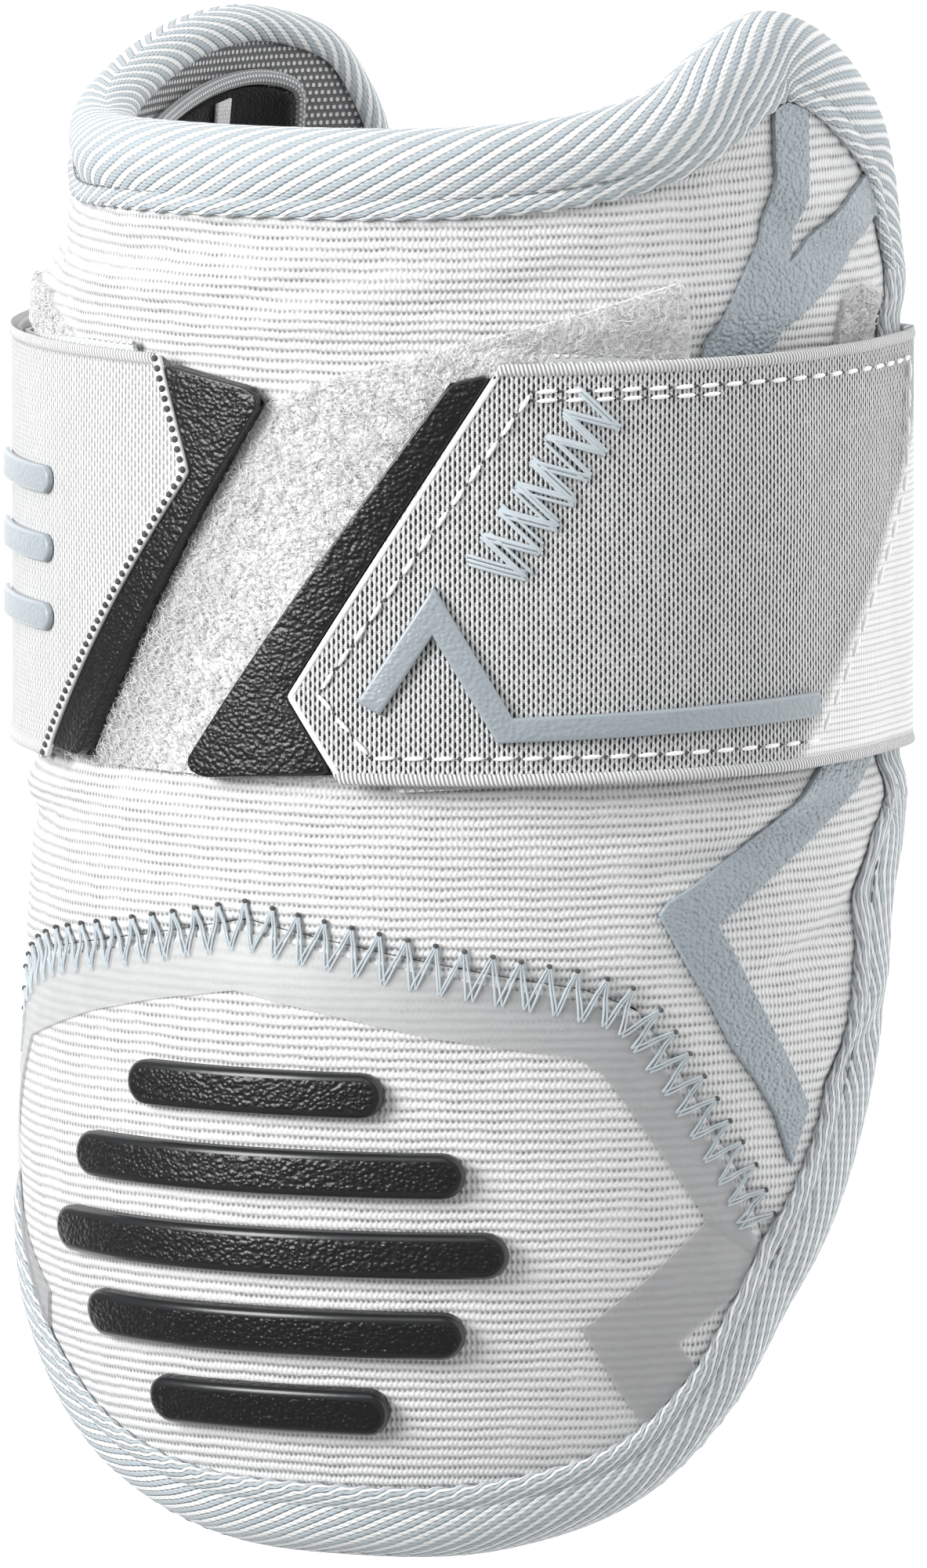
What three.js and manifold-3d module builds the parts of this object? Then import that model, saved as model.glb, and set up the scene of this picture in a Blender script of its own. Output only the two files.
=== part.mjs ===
// A batter's elbow guard: a padded, rib-knit sleeve that wraps the outside of the arm, with an
// elbow cup at one end, a high collar at the other, a wide folded binding round the whole edge,
// and an elastic strap that goes round behind the arm and sticks to loop panels on the front.
// It lies open side down. X runs across it, Y along it towards the collar, Z up out of its front,
// and the origin is the middle of the strap's flat back, on the surface that it rests on.

import * as THREE from "three";
import Module from "manifold-3d";
import { mergeVertices } from "three/addons/utils/BufferGeometryUtils.js";

const wasm = await Module();
wasm.setup();

// Form of the guard round the arm, in millimetres and degrees
const FORM_RADIUS = 62;
const SIDE_ANGLE = 128.6;
const COLLAR_RISE = 78;
const CUP_DROP = 144.5;
const COLLAR_CURL = 9;
const CURL_START = 34;
const CURL_FROM_ANGLE = 20;
const CURL_TO_ANGLE = 100;

// Thickness of the layers, and the clearance between them
const CLEARANCE = 0.3;
const BINDING_EASE = 0.45;
const KNIT_THICKNESS = 5;
const FACING_THICKNESS = 1;
const PAD_THICKNESS = 2.5;
const TAPE_THICKNESS = 0.5;
const LOOP_THICKNESS = 0.8;
const HOOK_THICKNESS = 0.8;
const STRIPE_THICKNESS = 0.5;
const FILM_THICKNESS = 0.4;
const STRAP_THICKNESS = 1.6;
const TAB_THICKNESS = 2.6;
const STRAP_TRIM_THICKNESS = 0.9;
const BUMPER_THICKNESS = 2.3;

// Edge binding, inner pad and their trims
const BINDING_WALL = 1.4;
const BINDING_FLAP = 10.4;
const BINDING_TURN_IN = 7.3;
const BINDING_FOLD = 2.4;
const LAYER_INSET = 3.8;
const SEAM_GAP = 0.8;
const PIPING_RADIUS = 1.2;
const PIPING_INSET = 9.6;
const PAD_SIDE_ANGLE = 111;
const TAPE_WIDTH = 4.5;
const TAPE_ANGLE = -74;

// Strap, tabs, bars and stripes
const STRAP_WIDTH = 61;
const STRAP_BEND = 3;
const NOTCH_MARGIN = 2;
const NOTCH_RAMP = 8;
const FOOT_LIFT = 0.1;
const TAB_UNDERLAP = 6;
const TAB_EASE = 0.5;
const TAB_SHARE = 0.95;
const HOOK_SHARE = 1.04;
const STRAP_STRIPE_WIDTH = 3.6;
const STRAP_BAR_LENGTH = 30;
const STRAP_BAR_WIDTH = 4;
const STRAP_BAR_PITCH = 10;
const STRAP_BAR_ANGLE = -37;
const BUMPER_ANGLE = 12.5;
const BUMPER_LENGTH = 74;
const BUMPER_WIDTH = 6.6;
const BUMPER_PITCH = 11.5;
const RUBBER_EDGE = 0.7;

// Spacing of the facets across the guard and round its edge
const COLUMN_STEP = 8;
const EDGE_STEP = 9;
const HOLLOW_TURN = 0.2;

// Radius round the arm along the guard, as a share of FORM_RADIUS
const GIRTH = [
  { along: -1, size: 0.766 },
  { along: -0.969, size: 0.815 },
  { along: -0.9, size: 0.903 },
  { along: -0.83, size: 0.96 },
  { along: -0.761, size: 1.0 },
  { along: -0.692, size: 1.024 },
  { along: -0.6, size: 1.032 },
  { along: -0.415, size: 1.032 },
  { along: -0.215, size: 1.0 },
  { along: 0.41, size: 1.0 },
  { along: 0.705, size: 0.994 },
  { along: 1, size: 0.99 },
];

// Lines across the guard that every layer's facets share
const CROSS_LINES = [
  -1.1, -0.97, -0.92, -0.86, -0.79, -0.7, -0.58, -0.46, -0.34, -0.215, 0.41, 0.56, 0.69, 0.82, 1.1,
];

// Outline of the laid-out guard, clockwise from the collar's middle:
// across is a share of SIDE_ANGLE, along of COLLAR_RISE above the strap's middle, CUP_DROP below it
const OUTLINE = [
  { across: 0.117, along: 0.815 },
  { across: 0.319, along: 0.822 },
  { across: 0.435, along: 0.841 },
  { across: 0.528, along: 0.879 },
  { across: 0.601, along: 0.95 },
  { across: 0.684, along: 1.0 },
  { across: 0.762, along: 0.955 },
  { across: 0.863, along: 0.836 },
  { across: 0.925, along: 0.746 },
  { across: 0.976, along: 0.59 },
  { across: 1.0, along: 0.494 },
  { across: 1.0, along: 0.0 },
  { across: 1.0, along: -0.266 },
  { across: 0.964, along: -0.325 },
  { across: 0.905, along: -0.374 },
  { across: 0.876, along: -0.464 },
  { across: 0.836, along: -0.561 },
  { across: 0.767, along: -0.675 },
  { across: 0.704, along: -0.756 },
  { across: 0.645, along: -0.853 },
  { across: 0.544, along: -0.943 },
  { across: 0.372, along: -0.992 },
  { across: 0.156, along: -1.0 },
  { across: -0.047, along: -0.988 },
  { across: -0.199, along: -0.943 },
  { across: -0.327, along: -0.865 },
  { across: -0.467, along: -0.734 },
  { across: -0.622, along: -0.609 },
  { across: -0.778, along: -0.484 },
  { across: -0.918, along: -0.374 },
  { across: -0.98, along: -0.311 },
  { across: -1.0, along: -0.266 },
  { across: -1.0, along: 0.0 },
  { across: -1.0, along: 0.494 },
  { across: -0.995, along: 0.654 },
  { across: -0.964, along: 0.767 },
  { across: -0.918, along: 0.842 },
  { across: -0.832, along: 0.885 },
  { across: -0.719, along: 0.876 },
  { across: -0.607, along: 0.833 },
  { across: -0.467, along: 0.787 },
  { across: -0.288, along: 0.799 },
  { across: -0.07, along: 0.812 },
];

// Line of the zigzag seam between the sleeve and the cup, left to right
const SEAM = [
  { across: -0.544, along: -0.775 },
  { across: -0.482, along: -0.675 },
  { across: -0.42, along: -0.567 },
  { across: -0.381, along: -0.509 },
  { across: -0.334, along: -0.45 },
  { across: -0.272, along: -0.419 },
  { across: -0.21, along: -0.401 },
  { across: -0.039, along: -0.372 },
  { across: 0.086, along: -0.349 },
  { across: 0.194, along: -0.369 },
  { across: 0.358, along: -0.4 },
  { across: 0.443, along: -0.415 },
  { across: 0.498, along: -0.436 },
  { across: 0.552, along: -0.509 },
  { across: 0.591, along: -0.567 },
  { across: 0.622, along: -0.609 },
  { across: 0.655, along: -0.675 },
  { across: 0.708, along: -0.789 },
];

// Clear film inside the seam: its two edges, left to right, and its corner on the right,
// which the left one mirrors about the cup's middle
const FILM_OUTER = [
  { across: -0.452, along: -0.693 },
  { across: -0.405, along: -0.575 },
  { across: -0.371, along: -0.52 },
  { across: -0.328, along: -0.462 },
  { across: -0.268, along: -0.43 },
  { across: -0.208, along: -0.412 },
  { across: -0.038, along: -0.383 },
  { across: 0.085, along: -0.361 },
  { across: 0.192, along: -0.381 },
  { across: 0.355, along: -0.411 },
  { across: 0.437, along: -0.426 },
  { across: 0.489, along: -0.446 },
  { across: 0.542, along: -0.517 },
  { across: 0.58, along: -0.573 },
  { across: 0.611, along: -0.616 },
  { across: 0.645, along: -0.693 },
];
const FILM_INNER = [
  { across: -0.38, along: -0.652 },
  { across: -0.315, along: -0.567 },
  { across: -0.287, along: -0.529 },
  { across: -0.26, along: -0.496 },
  { across: -0.119, along: -0.456 },
  { across: -0.02, along: -0.435 },
  { across: 0.082, along: -0.419 },
  { across: 0.186, along: -0.439 },
  { across: 0.295, along: -0.461 },
  { across: 0.428, along: -0.48 },
  { across: 0.455, along: -0.496 },
  { across: 0.481, along: -0.529 },
  { across: 0.509, along: -0.567 },
  { across: 0.575, along: -0.652 },
];
const FILM_CORNER = [
  { across: 0.575, along: -0.648 },
  { across: 0.507, along: -0.704 },
  { across: 0.439, along: -0.752 },
  { across: 0.485, along: -0.817 },
  { across: 0.53, along: -0.862 },
  { across: 0.56, along: -0.9 },
  { across: 0.62, along: -0.85 },
  { across: 0.582, along: -0.806 },
  { across: 0.55, along: -0.772 },
  { across: 0.614, along: -0.726 },
  { across: 0.65, along: -0.693 },
  { across: 0.638, along: -0.668 },
];
const FILM_MIRROR = 0.097;

// Embossed stripes on the knit's right side, above and below the strap
const FLAP_STRIPE = [
  { across: 0.674, along: 0.805 },
  { across: 0.68, along: 0.87 },
  { across: 0.735, along: 0.88 },
  { across: 0.73, along: 0.829 },
  { across: 0.73, along: 0.738 },
  { across: 0.726, along: 0.672 },
  { across: 0.712, along: 0.606 },
  { across: 0.695, along: 0.549 },
  { across: 0.756, along: 0.605 },
  { across: 0.809, along: 0.658 },
  { across: 0.855, along: 0.692 },
  { across: 0.896, along: 0.724 },
  { across: 0.92, along: 0.74 },
  { across: 0.93, along: 0.64 },
  { across: 0.908, along: 0.627 },
  { across: 0.874, along: 0.612 },
  { across: 0.804, along: 0.542 },
  { across: 0.744, along: 0.486 },
  { across: 0.681, along: 0.423 },
  { across: 0.66, along: 0.36 },
  { across: 0.575, along: 0.36 },
  { across: 0.58, along: 0.415 },
  { across: 0.655, along: 0.594 },
  { across: 0.67, along: 0.664 },
  { across: 0.679, along: 0.723 },
];
const SIDE_STRIPE = [
  { across: 0.762, along: -0.205 },
  { across: 0.747, along: -0.216 },
  { across: 0.681, along: -0.252 },
  { across: 0.621, along: -0.288 },
  { across: 0.53, along: -0.332 },
  { across: 0.52, along: -0.344 },
  { across: 0.548, along: -0.392 },
  { across: 0.575, along: -0.431 },
  { across: 0.604, along: -0.479 },
  { across: 0.638, along: -0.518 },
  { across: 0.663, along: -0.552 },
  { across: 0.684, along: -0.603 },
  { across: 0.712, along: -0.547 },
  { across: 0.686, along: -0.504 },
  { across: 0.654, along: -0.458 },
  { across: 0.621, along: -0.409 },
  { across: 0.588, along: -0.358 },
  { across: 0.621, along: -0.338 },
  { across: 0.681, along: -0.305 },
  { across: 0.776, along: -0.26 },
  { across: 0.862, along: -0.219 },
  { across: 0.875, along: -0.205 },
];

// Pieces on the strap's line: across is a share of SIDE_ANGLE, along of half of STRAP_WIDTH
const STRAP_RIGHT_END = [
  { across: 0.355, along: 1.0 },
  { across: 0.142, along: -0.593 },
  { across: 0.197, along: -1.0 },
];
const STRAP_LEFT_END = [
  { across: -0.201, along: -1.0 },
  { across: 0.028, along: 0.446 },
  { across: -0.009, along: 1.0 },
];
const TAB_LEFT = [
  { across: 0.1, along: 0.86 },
  { across: 0.112, along: 0.79 },
  { across: -0.132, along: -0.97 },
];
const TAB_RIGHT = [
  { across: 0.042, along: -1.003 },
  { across: 0.024, along: -0.944 },
  { across: 0.305, along: 0.905 },
];
const LOOP_FRONT = [
  { across: -0.25, along: -1.0 },
  { across: -0.25, along: 0.164 },
  { across: 0.107, along: 0.777 },
  { across: 0.198, along: 0.941 },
  { across: 0.552, along: 1.357 },
  { across: 0.56, along: 1.082 },
  { across: 0.56, along: -0.9 },
  { across: 0.17, along: -1.0 },
];
const LOOP_LEFT = [
  { across: -0.74, along: -0.8 },
  { across: -0.74, along: 0.92 },
  { across: -0.48, along: 1.18 },
  { across: -0.28, along: 1.2 },
  { across: -0.257, along: 1.08 },
  { across: -0.257, along: -0.8 },
];
const LOOP_RIGHT = [
  { across: 0.785, along: -0.82 },
  { across: 0.785, along: 1.2 },
  { across: 0.83, along: 1.26 },
  { across: 0.895, along: 1.22 },
  { across: 0.895, along: -0.82 },
];
const HOOK_LEFT = [
  { across: -0.466, along: 0.93 },
  { across: -0.466, along: -0.93 },
];
const HOOK_RIGHT = [
  { across: 0.62, along: -0.95 },
  { across: 0.62, along: 0.95 },
];
const STRAP_STRIPE = [
  { across: 0.226, along: -0.633 },
  { across: 0.289, along: -0.167 },
  { across: 0.358, along: -0.734 },
  { across: 0.71, along: -0.692 },
];

// Lengths of the bars on the cup, from the seam down, as shares of BUMPER_LENGTH
const BUMPER_LENGTHS = [0.54, 0.84, 1.0, 0.84, 0.54];
const BUMPER_MIDDLE = -0.675;

const radians = THREE.MathUtils.degToRad;
const SIDE_ARC = FORM_RADIUS * radians(SIDE_ANGLE);

// Lower and upper face of each layer, measured out from the knit's face
const knit = { from: -KNIT_THICKNESS, to: 0 };
const facing = below(knit, FACING_THICKNESS);
const pad = below(facing, PAD_THICKNESS);
const tape = below(pad, TAPE_THICKNESS);
const film = above(knit, FILM_THICKNESS);
const stripe = above(knit, STRIPE_THICKNESS);
const loops = above(knit, LOOP_THICKNESS);
const bumper = above(knit, BUMPER_THICKNESS);
const hooks = above(loops, HOOK_THICKNESS);
const strap = above(hooks, STRAP_THICKNESS);
const tab = above(loops, TAB_THICKNESS);
const strapTrim = above(strap, STRAP_TRIM_THICKNESS);
const bindingOut = above(knit, BINDING_WALL, BINDING_EASE);
const bindingIn = below(facing, BINDING_WALL, BINDING_EASE);

function above(layer, thickness, gap = CLEARANCE) {
  return { from: layer.to + gap, to: layer.to + gap + thickness };
}

function below(layer, thickness, gap = CLEARANCE) {
  return { from: layer.from - gap - thickness, to: layer.from - gap };
}

// A table's row as a point of the laid-out guard: u across it at FORM_RADIUS, v along it
function onGuard(row) {
  return { u: row.across * SIDE_ARC, v: lengthAlong(row.along) };
}

function lengthAlong(share) {
  return share * (share < 0 ? CUP_DROP : COLLAR_RISE);
}

function onStrapLine(row) {
  return { u: row.across * SIDE_ARC, v: (row.along * STRAP_WIDTH) / 2 };
}

// A value between a table's rows, with smooth slopes that never overshoot, and a straight run
// past its ends
function readTable(rows, share) {
  const last = rows.length - 1;
  const rise = (i) => (rows[i + 1].size - rows[i].size) / (rows[i + 1].along - rows[i].along);
  const slope = (i) => {
    if (i === 0) return rise(0);
    if (i === last) return rise(last - 1);
    const [a, b] = [rise(i - 1), rise(i)];
    return a * b <= 0 ? 0 : (2 * a * b) / (a + b);
  };
  if (share <= rows[0].along) return rows[0].size + slope(0) * (share - rows[0].along);
  if (share >= rows[last].along) return rows[last].size + slope(last) * (share - rows[last].along);
  const i = rows.findIndex((row, k) => share < rows[k + 1].along);
  const length = rows[i + 1].along - rows[i].along;
  const t = (share - rows[i].along) / length;
  const level = rows[i].size * (1 + 2 * t) * (1 - t) ** 2 + rows[i + 1].size * (3 - 2 * t) * t ** 2;
  return level + length * t * (1 - t) * (slope(i) * (1 - t) - slope(i + 1) * t);
}

// The form that everything is wrapped on: a tube round the arm, pinched at the cup's end,
// with the collar's left lobe curled inwards
function formPoint(u, v) {
  const turn = u / FORM_RADIUS;
  const girth = readTable(GIRTH, v / (v < 0 ? CUP_DROP : COLLAR_RISE));
  const round = THREE.MathUtils.smoothstep(-turn, radians(CURL_FROM_ANGLE), radians(CURL_TO_ANGLE));
  const rise = Math.max(0, v - CURL_START) / (COLLAR_RISE - CURL_START);
  const radius = FORM_RADIUS * girth - COLLAR_CURL * round * rise ** 1.5;
  return new THREE.Vector3(radius * Math.sin(turn), v, radius * Math.cos(turn));
}

function wrapOnAxis(u, v, w) {
  const probe = 0.01;
  const alongU = formPoint(u + probe, v).sub(formPoint(u - probe, v));
  const alongV = formPoint(u, v + probe).sub(formPoint(u, v - probe));
  return formPoint(u, v).addScaledVector(alongU.cross(alongV).normalize(), w);
}

// A closed smooth line through points of the laid-out guard, with a sample about every step
function smoothLoop(points, step) {
  const knots = points.map((point) => new THREE.Vector3(point.u, point.v, 0));
  const curve = new THREE.CatmullRomCurve3(knots, true, "centripetal");
  return knots.flatMap((knot, i) => {
    const length = knot.distanceTo(knots[(i + 1) % knots.length]);
    const count = Math.max(1, Math.round(length / step));
    return Array.from({ length: count }, (_, k) => {
      const sample = curve.getPoint((i + k / count) / knots.length);
      return { u: sample.x, v: sample.y };
    });
  });
}

// Unit vectors that point into a clockwise loop at its samples
function inwards(loop) {
  return loop.map((_, i) => {
    const a = loop[(i + loop.length - 1) % loop.length];
    const b = loop[(i + 1) % loop.length];
    const length = Math.hypot(b.u - a.u, b.v - a.v);
    return { u: (b.v - a.v) / length, v: (a.u - b.u) / length };
  });
}

function distanceToLoop(loop, point) {
  return Math.min(...loop.map((a, i) => {
    const b = loop[(i + 1) % loop.length];
    const run = { u: b.u - a.u, v: b.v - a.v };
    const dot = (point.u - a.u) * run.u + (point.v - a.v) * run.v;
    const t = THREE.MathUtils.clamp(dot / (run.u ** 2 + run.v ** 2), 0, 1);
    return Math.hypot(point.u - a.u - run.u * t, point.v - a.v - run.v * t);
  }));
}

// A clockwise loop moved inwards, without the samples that would cross over at tight corners
function inset(loop, distance) {
  const normals = inwards(loop);
  const moved = loop.map((point, i) => (
    { u: point.u + normals[i].u * distance, v: point.v + normals[i].v * distance }
  ));
  return moved.filter((point) => distanceToLoop(loop, point) > distance * 0.985);
}

// The lowest and highest point of a loop on the line across it at u
function spanOf(loop) {
  return (u) => {
    const crossings = [];
    loop.forEach((a, i) => {
      const b = loop[(i + 1) % loop.length];
      if ((a.u - u) * (b.u - u) > 0) return;
      const t = a.u === b.u ? 0 : (u - a.u) / (b.u - a.u);
      crossings.push(a.v + (b.v - a.v) * t, a.u === b.u ? b.v : a.v + (b.v - a.v) * t);
    });
    return { low: Math.min(...crossings), high: Math.max(...crossings) };
  };
}

// The stops, and the shared column lines between the first and the last of them
function columnsThrough(stops) {
  const sorted = [...stops].sort((a, b) => a - b);
  const kept = sorted.filter((u, i) => i === 0 || u - sorted[i - 1] > 0.01);
  const first = kept[0];
  const last = kept[kept.length - 1];
  const lines = [];
  for (let k = Math.ceil(first / COLUMN_STEP); k * COLUMN_STEP < last; k += 1) {
    const line = k * COLUMN_STEP;
    if (kept.every((u) => Math.abs(u - line) > 0.4)) lines.push(line);
  }
  return [...kept, ...lines].sort((a, b) => a - b);
}

// A closed mesh from points and triangles: equal points joined, empty triangles left out,
// and the faces turned to point out
function closedGeometry(points, triangles) {
  const loose = new THREE.BufferGeometry();
  loose.setAttribute("position", new THREE.Float32BufferAttribute(points.flatMap((p) => p.toArray()), 3));
  loose.setIndex(triangles.flat());
  const joined = mergeVertices(loose, 1e-3);
  const index = Array.from(joined.index.array);
  const corner = (k) => new THREE.Vector3().fromBufferAttribute(joined.attributes.position, k);
  let volume = 0;
  const kept = [];
  for (let i = 0; i < index.length; i += 3) {
    const [a, b, c] = index.slice(i, i + 3);
    if (a === b || b === c || c === a) continue;
    kept.push([a, b, c]);
    volume += corner(a).dot(corner(b).cross(corner(c)));
  }
  joined.setIndex(kept.flatMap(([a, b, c]) => (volume > 0 ? [a, b, c] : [a, c, b])));
  joined.computeVertexNormals();
  return joined;
}

function quad(a, b, c, d) {
  return [[a, b, c], [a, c, d]];
}

const crossLines = CROSS_LINES.map(lengthAlong);

// A wall over the laid-out guard, between two lifts: columns across it, each from its low end to
// its high end, with the shared cross lines kept within those ends
function wall({ columns, span, lines = crossLines, layer, map }) {
  const points = columns.flatMap((u) => {
    const { low, high } = span(u);
    return lines.flatMap((line, k) => {
      const within = THREE.MathUtils.clamp(line, low, high);
      const v = { 0: low, [lines.length - 1]: high }[k] ?? within;
      return [layer.from, layer.to].map((w) => map(u, v, w));
    });
  });
  const at = (column, row, face) => (column * lines.length + row) * 2 + face;
  const triangles = [];
  const top = lines.length - 1;
  const end = columns.length - 1;
  for (let i = 0; i < end; i += 1) {
    for (let j = 0; j < top; j += 1) {
      triangles.push(...quad(at(i, j, 1), at(i + 1, j, 1), at(i + 1, j + 1, 1), at(i, j + 1, 1)));
      triangles.push(...quad(at(i, j, 0), at(i, j + 1, 0), at(i + 1, j + 1, 0), at(i + 1, j, 0)));
    }
    triangles.push(...quad(at(i, 0, 0), at(i + 1, 0, 0), at(i + 1, 0, 1), at(i, 0, 1)));
    triangles.push(...quad(at(i, top, 0), at(i, top, 1), at(i + 1, top, 1), at(i + 1, top, 0)));
  }
  for (let j = 0; j < top; j += 1) {
    triangles.push(...quad(at(0, j, 0), at(0, j, 1), at(0, j + 1, 1), at(0, j + 1, 0)));
    triangles.push(...quad(at(end, j, 0), at(end, j + 1, 0), at(end, j + 1, 1), at(end, j, 1)));
  }
  return closedGeometry(points, triangles);
}

// A wall with a short outline of its own
function patch(loop, layer) {
  const columns = columnsThrough(loop.map((point) => point.u));
  return wall({ columns, span: spanOf(loop), layer, map: wrap });
}

// A ring: a closed section of inset and lift, carried round a loop
function ring(loop, section, map) {
  const normals = inwards(loop);
  const points = loop.flatMap((point, i) => section.map(({ s, w }) => (
    map(point.u + normals[i].u * s, point.v + normals[i].v * s, w)
  )));
  const count = section.length;
  const triangles = loop.flatMap((_, i) => section.flatMap((__, j) => {
    const next = (i + 1) % loop.length;
    const up = (j + 1) % count;
    return quad(i * count + j, next * count + j, next * count + up, i * count + up);
  }));
  return closedGeometry(points, triangles);
}

function shapeOf(points) {
  return new THREE.Shape(points.map((point) => new THREE.Vector2(point.u, point.v)));
}

// A flat plate as a solid that can be cut and joined, with an optional bevel round its top
function plate(points, layer, bevel = 0) {
  const geometry = new THREE.ExtrudeGeometry(shapeOf(points), {
    depth: layer.to - layer.from - bevel,
    bevelEnabled: bevel > 0,
    bevelThickness: bevel,
    bevelSize: bevel,
    bevelOffset: -bevel,
    bevelSegments: 1,
  });
  geometry.translate(0, 0, layer.from);
  geometry.deleteAttribute("normal");
  geometry.deleteAttribute("uv");
  const joined = mergeVertices(geometry, 1e-4);
  const solid = new wasm.Manifold(new wasm.Mesh({
    numProp: 3,
    vertProperties: Float32Array.from(joined.attributes.position.array),
    triVerts: Uint32Array.from(joined.index.array),
  }));
  return bevel > 0 ? solid.intersect(plate(points, layer)) : solid;
}

// Cuts flat polygons in two along a line at right angles to one axis
function cutAt(polygons, axis, line) {
  return polygons.flatMap((polygon) => {
    const offsets = polygon.map((point) => point[axis] - line);
    if (Math.min(...offsets) >= 0 || Math.max(...offsets) <= 0) return [polygon];
    const sides = [[], []];
    polygon.forEach((a, i) => {
      const b = polygon[(i + 1) % polygon.length];
      const [da, db] = [offsets[i], offsets[(i + 1) % polygon.length]];
      if (da <= 0) sides[0].push(a);
      if (da >= 0) sides[1].push(a);
      if (da * db < 0) {
        const crossing = a.map((value, k) => value + ((b[k] - value) * da) / (da - db));
        sides.forEach((side) => side.push(crossing));
      }
    });
    return sides;
  });
}

// A cut plate, split along the shared lines and wrapped on the form
function wrapped(solid) {
  const mesh = solid.getMesh();
  const box = solid.boundingBox();
  const corner = (k) => Array.from(mesh.vertProperties.slice(3 * k, 3 * k + 3));
  let polygons = [];
  for (let i = 0; i < mesh.triVerts.length; i += 3) {
    polygons.push([0, 1, 2].map((k) => corner(mesh.triVerts[i + k])));
  }
  columnsThrough([box.min[0], box.max[0]]).forEach((u) => { polygons = cutAt(polygons, 0, u); });
  crossLines.forEach((v) => { polygons = cutAt(polygons, 1, v); });
  const points = polygons.flatMap((polygon) => polygon.map(([u, v, w]) => wrap(u, v, w)));
  const triangles = [];
  let first = 0;
  polygons.forEach((polygon) => {
    for (let k = 2; k < polygon.length; k += 1) triangles.push([first, first + k - 1, first + k]);
    first += polygon.length;
  });
  return closedGeometry(points, triangles);
}

// The binding's folded section: inset from the nose, and lift from the knit's face
const foldRound = BINDING_WALL;
const BINDING_SECTION = [
  { s: BINDING_FLAP, w: bindingOut.from },
  { s: BINDING_FLAP, w: bindingOut.to - 0.2 },
  { s: BINDING_FOLD + BINDING_WALL / 2, w: bindingOut.to + 0.2 },
  { s: 0, w: bindingOut.from - foldRound },
  { s: 0, w: bindingIn.to + foldRound },
  { s: BINDING_FOLD + BINDING_WALL / 2, w: bindingIn.from - 0.1 },
  { s: BINDING_TURN_IN, w: bindingIn.from },
  { s: BINDING_TURN_IN, w: bindingIn.to },
  { s: BINDING_FOLD, w: bindingIn.to },
  { s: BINDING_FOLD, w: bindingOut.from },
];

// The axis of the form stands so high that the side edges just clear the surface, and the edges
// are notched in under the strap so that its flat back passes below them
const fullEdge = smoothLoop(OUTLINE.map(onGuard), EDGE_STEP);
const fullNormals = inwards(fullEdge);
const lowestEdge = Math.min(...fullEdge.flatMap((point, i) => BINDING_SECTION.map(({ s, w }) => (
  wrapOnAxis(point.u + fullNormals[i].u * s, point.v + fullNormals[i].v * s, w).z
))));
const AXIS_HEIGHT = FOOT_LIFT - lowestEdge;

function wrap(u, v, w) {
  const point = wrapOnAxis(u, v, w);
  point.z += AXIS_HEIGHT;
  return point;
}

function lowestAtNose(u) {
  return Math.min(...BINDING_SECTION.map(({ s, w }) => wrap(u - s, 0, w).z));
}

function notchedSide() {
  let near = SIDE_ARC * 0.8;
  let far = SIDE_ARC;
  for (let i = 0; i < 30; i += 1) {
    const middle = (near + far) / 2;
    if (lowestAtNose(middle) > STRAP_THICKNESS + CLEARANCE) near = middle;
    else far = middle;
  }
  return near;
}

const NOTCHED_ARC = notchedSide();
const notchStart = STRAP_WIDTH / 2 + NOTCH_MARGIN;

function notched(point) {
  const open = THREE.MathUtils.smoothstep(Math.abs(point.v), notchStart, notchStart + NOTCH_RAMP);
  const reach = NOTCHED_ARC + (SIDE_ARC - NOTCHED_ARC + 1) * open;
  return { u: THREE.MathUtils.clamp(point.u, -reach, reach), v: point.v };
}

// Adds a sample wherever the side edges pass a height, so that the notch keeps its corners
function withStops(loop, heights) {
  return loop.flatMap((a, i) => {
    const b = loop[(i + 1) % loop.length];
    const stops = heights.filter((v) => (
      Math.abs(a.u) > SIDE_ARC * 0.9 && (a.v - v) * (b.v - v) < 0
      && Math.abs(a.v - v) > 1 && Math.abs(b.v - v) > 1
    ));
    const sorted = stops.sort((p, q) => Math.abs(a.v - p) - Math.abs(a.v - q));
    return [a, ...sorted.map((v) => ({ u: a.u + ((b.u - a.u) * (v - a.v)) / (b.v - a.v), v }))];
  });
}

const notchHeights = [notchStart, notchStart + NOTCH_RAMP / 2, notchStart + NOTCH_RAMP];
const edge = withStops(fullEdge, notchHeights.flatMap((v) => [v, -v])).map(notched);
const layerLoop = inset(fullEdge, LAYER_INSET);
const layerSpan = spanOf(layerLoop);
const layerReach = NOTCHED_ARC - LAYER_INSET;
const openKnit = inset(edge, BINDING_FLAP + CLEARANCE);

// Where the layers' edge turns inwards, a column keeps it clear of the binding
const hollows = layerLoop.filter((point, i) => {
  const a = layerLoop[(i + layerLoop.length - 1) % layerLoop.length];
  const b = layerLoop[(i + 1) % layerLoop.length];
  const cross = (point.u - a.u) * (b.v - point.v) - (point.v - a.v) * (b.u - point.u);
  const lengths = Math.hypot(point.u - a.u, point.v - a.v) * Math.hypot(b.u - point.u, b.v - point.v);
  return cross / lengths > HOLLOW_TURN && Math.abs(point.u) < layerReach;
}).map((point) => point.u);

// The seam, as a height for each place across the guard
const seamPoints = SEAM.map(onGuard);

function seamHeight(u) {
  const i = seamPoints.findIndex((point, k) => k > 0 && u <= point.u);
  if (i < 1) return -Infinity;
  const [a, b] = [seamPoints[i - 1], seamPoints[i]];
  return u < a.u ? -Infinity : a.v + ((b.v - a.v) * (u - a.u)) / (b.u - a.u);
}

function sleeveSpan(u) {
  const { low, high } = layerSpan(u);
  return { low: Math.max(low, seamHeight(u) + SEAM_GAP / 2), high };
}

function cupSpan(u) {
  return { low: layerSpan(u).low, high: seamHeight(u) - SEAM_GAP / 2 };
}

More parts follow.
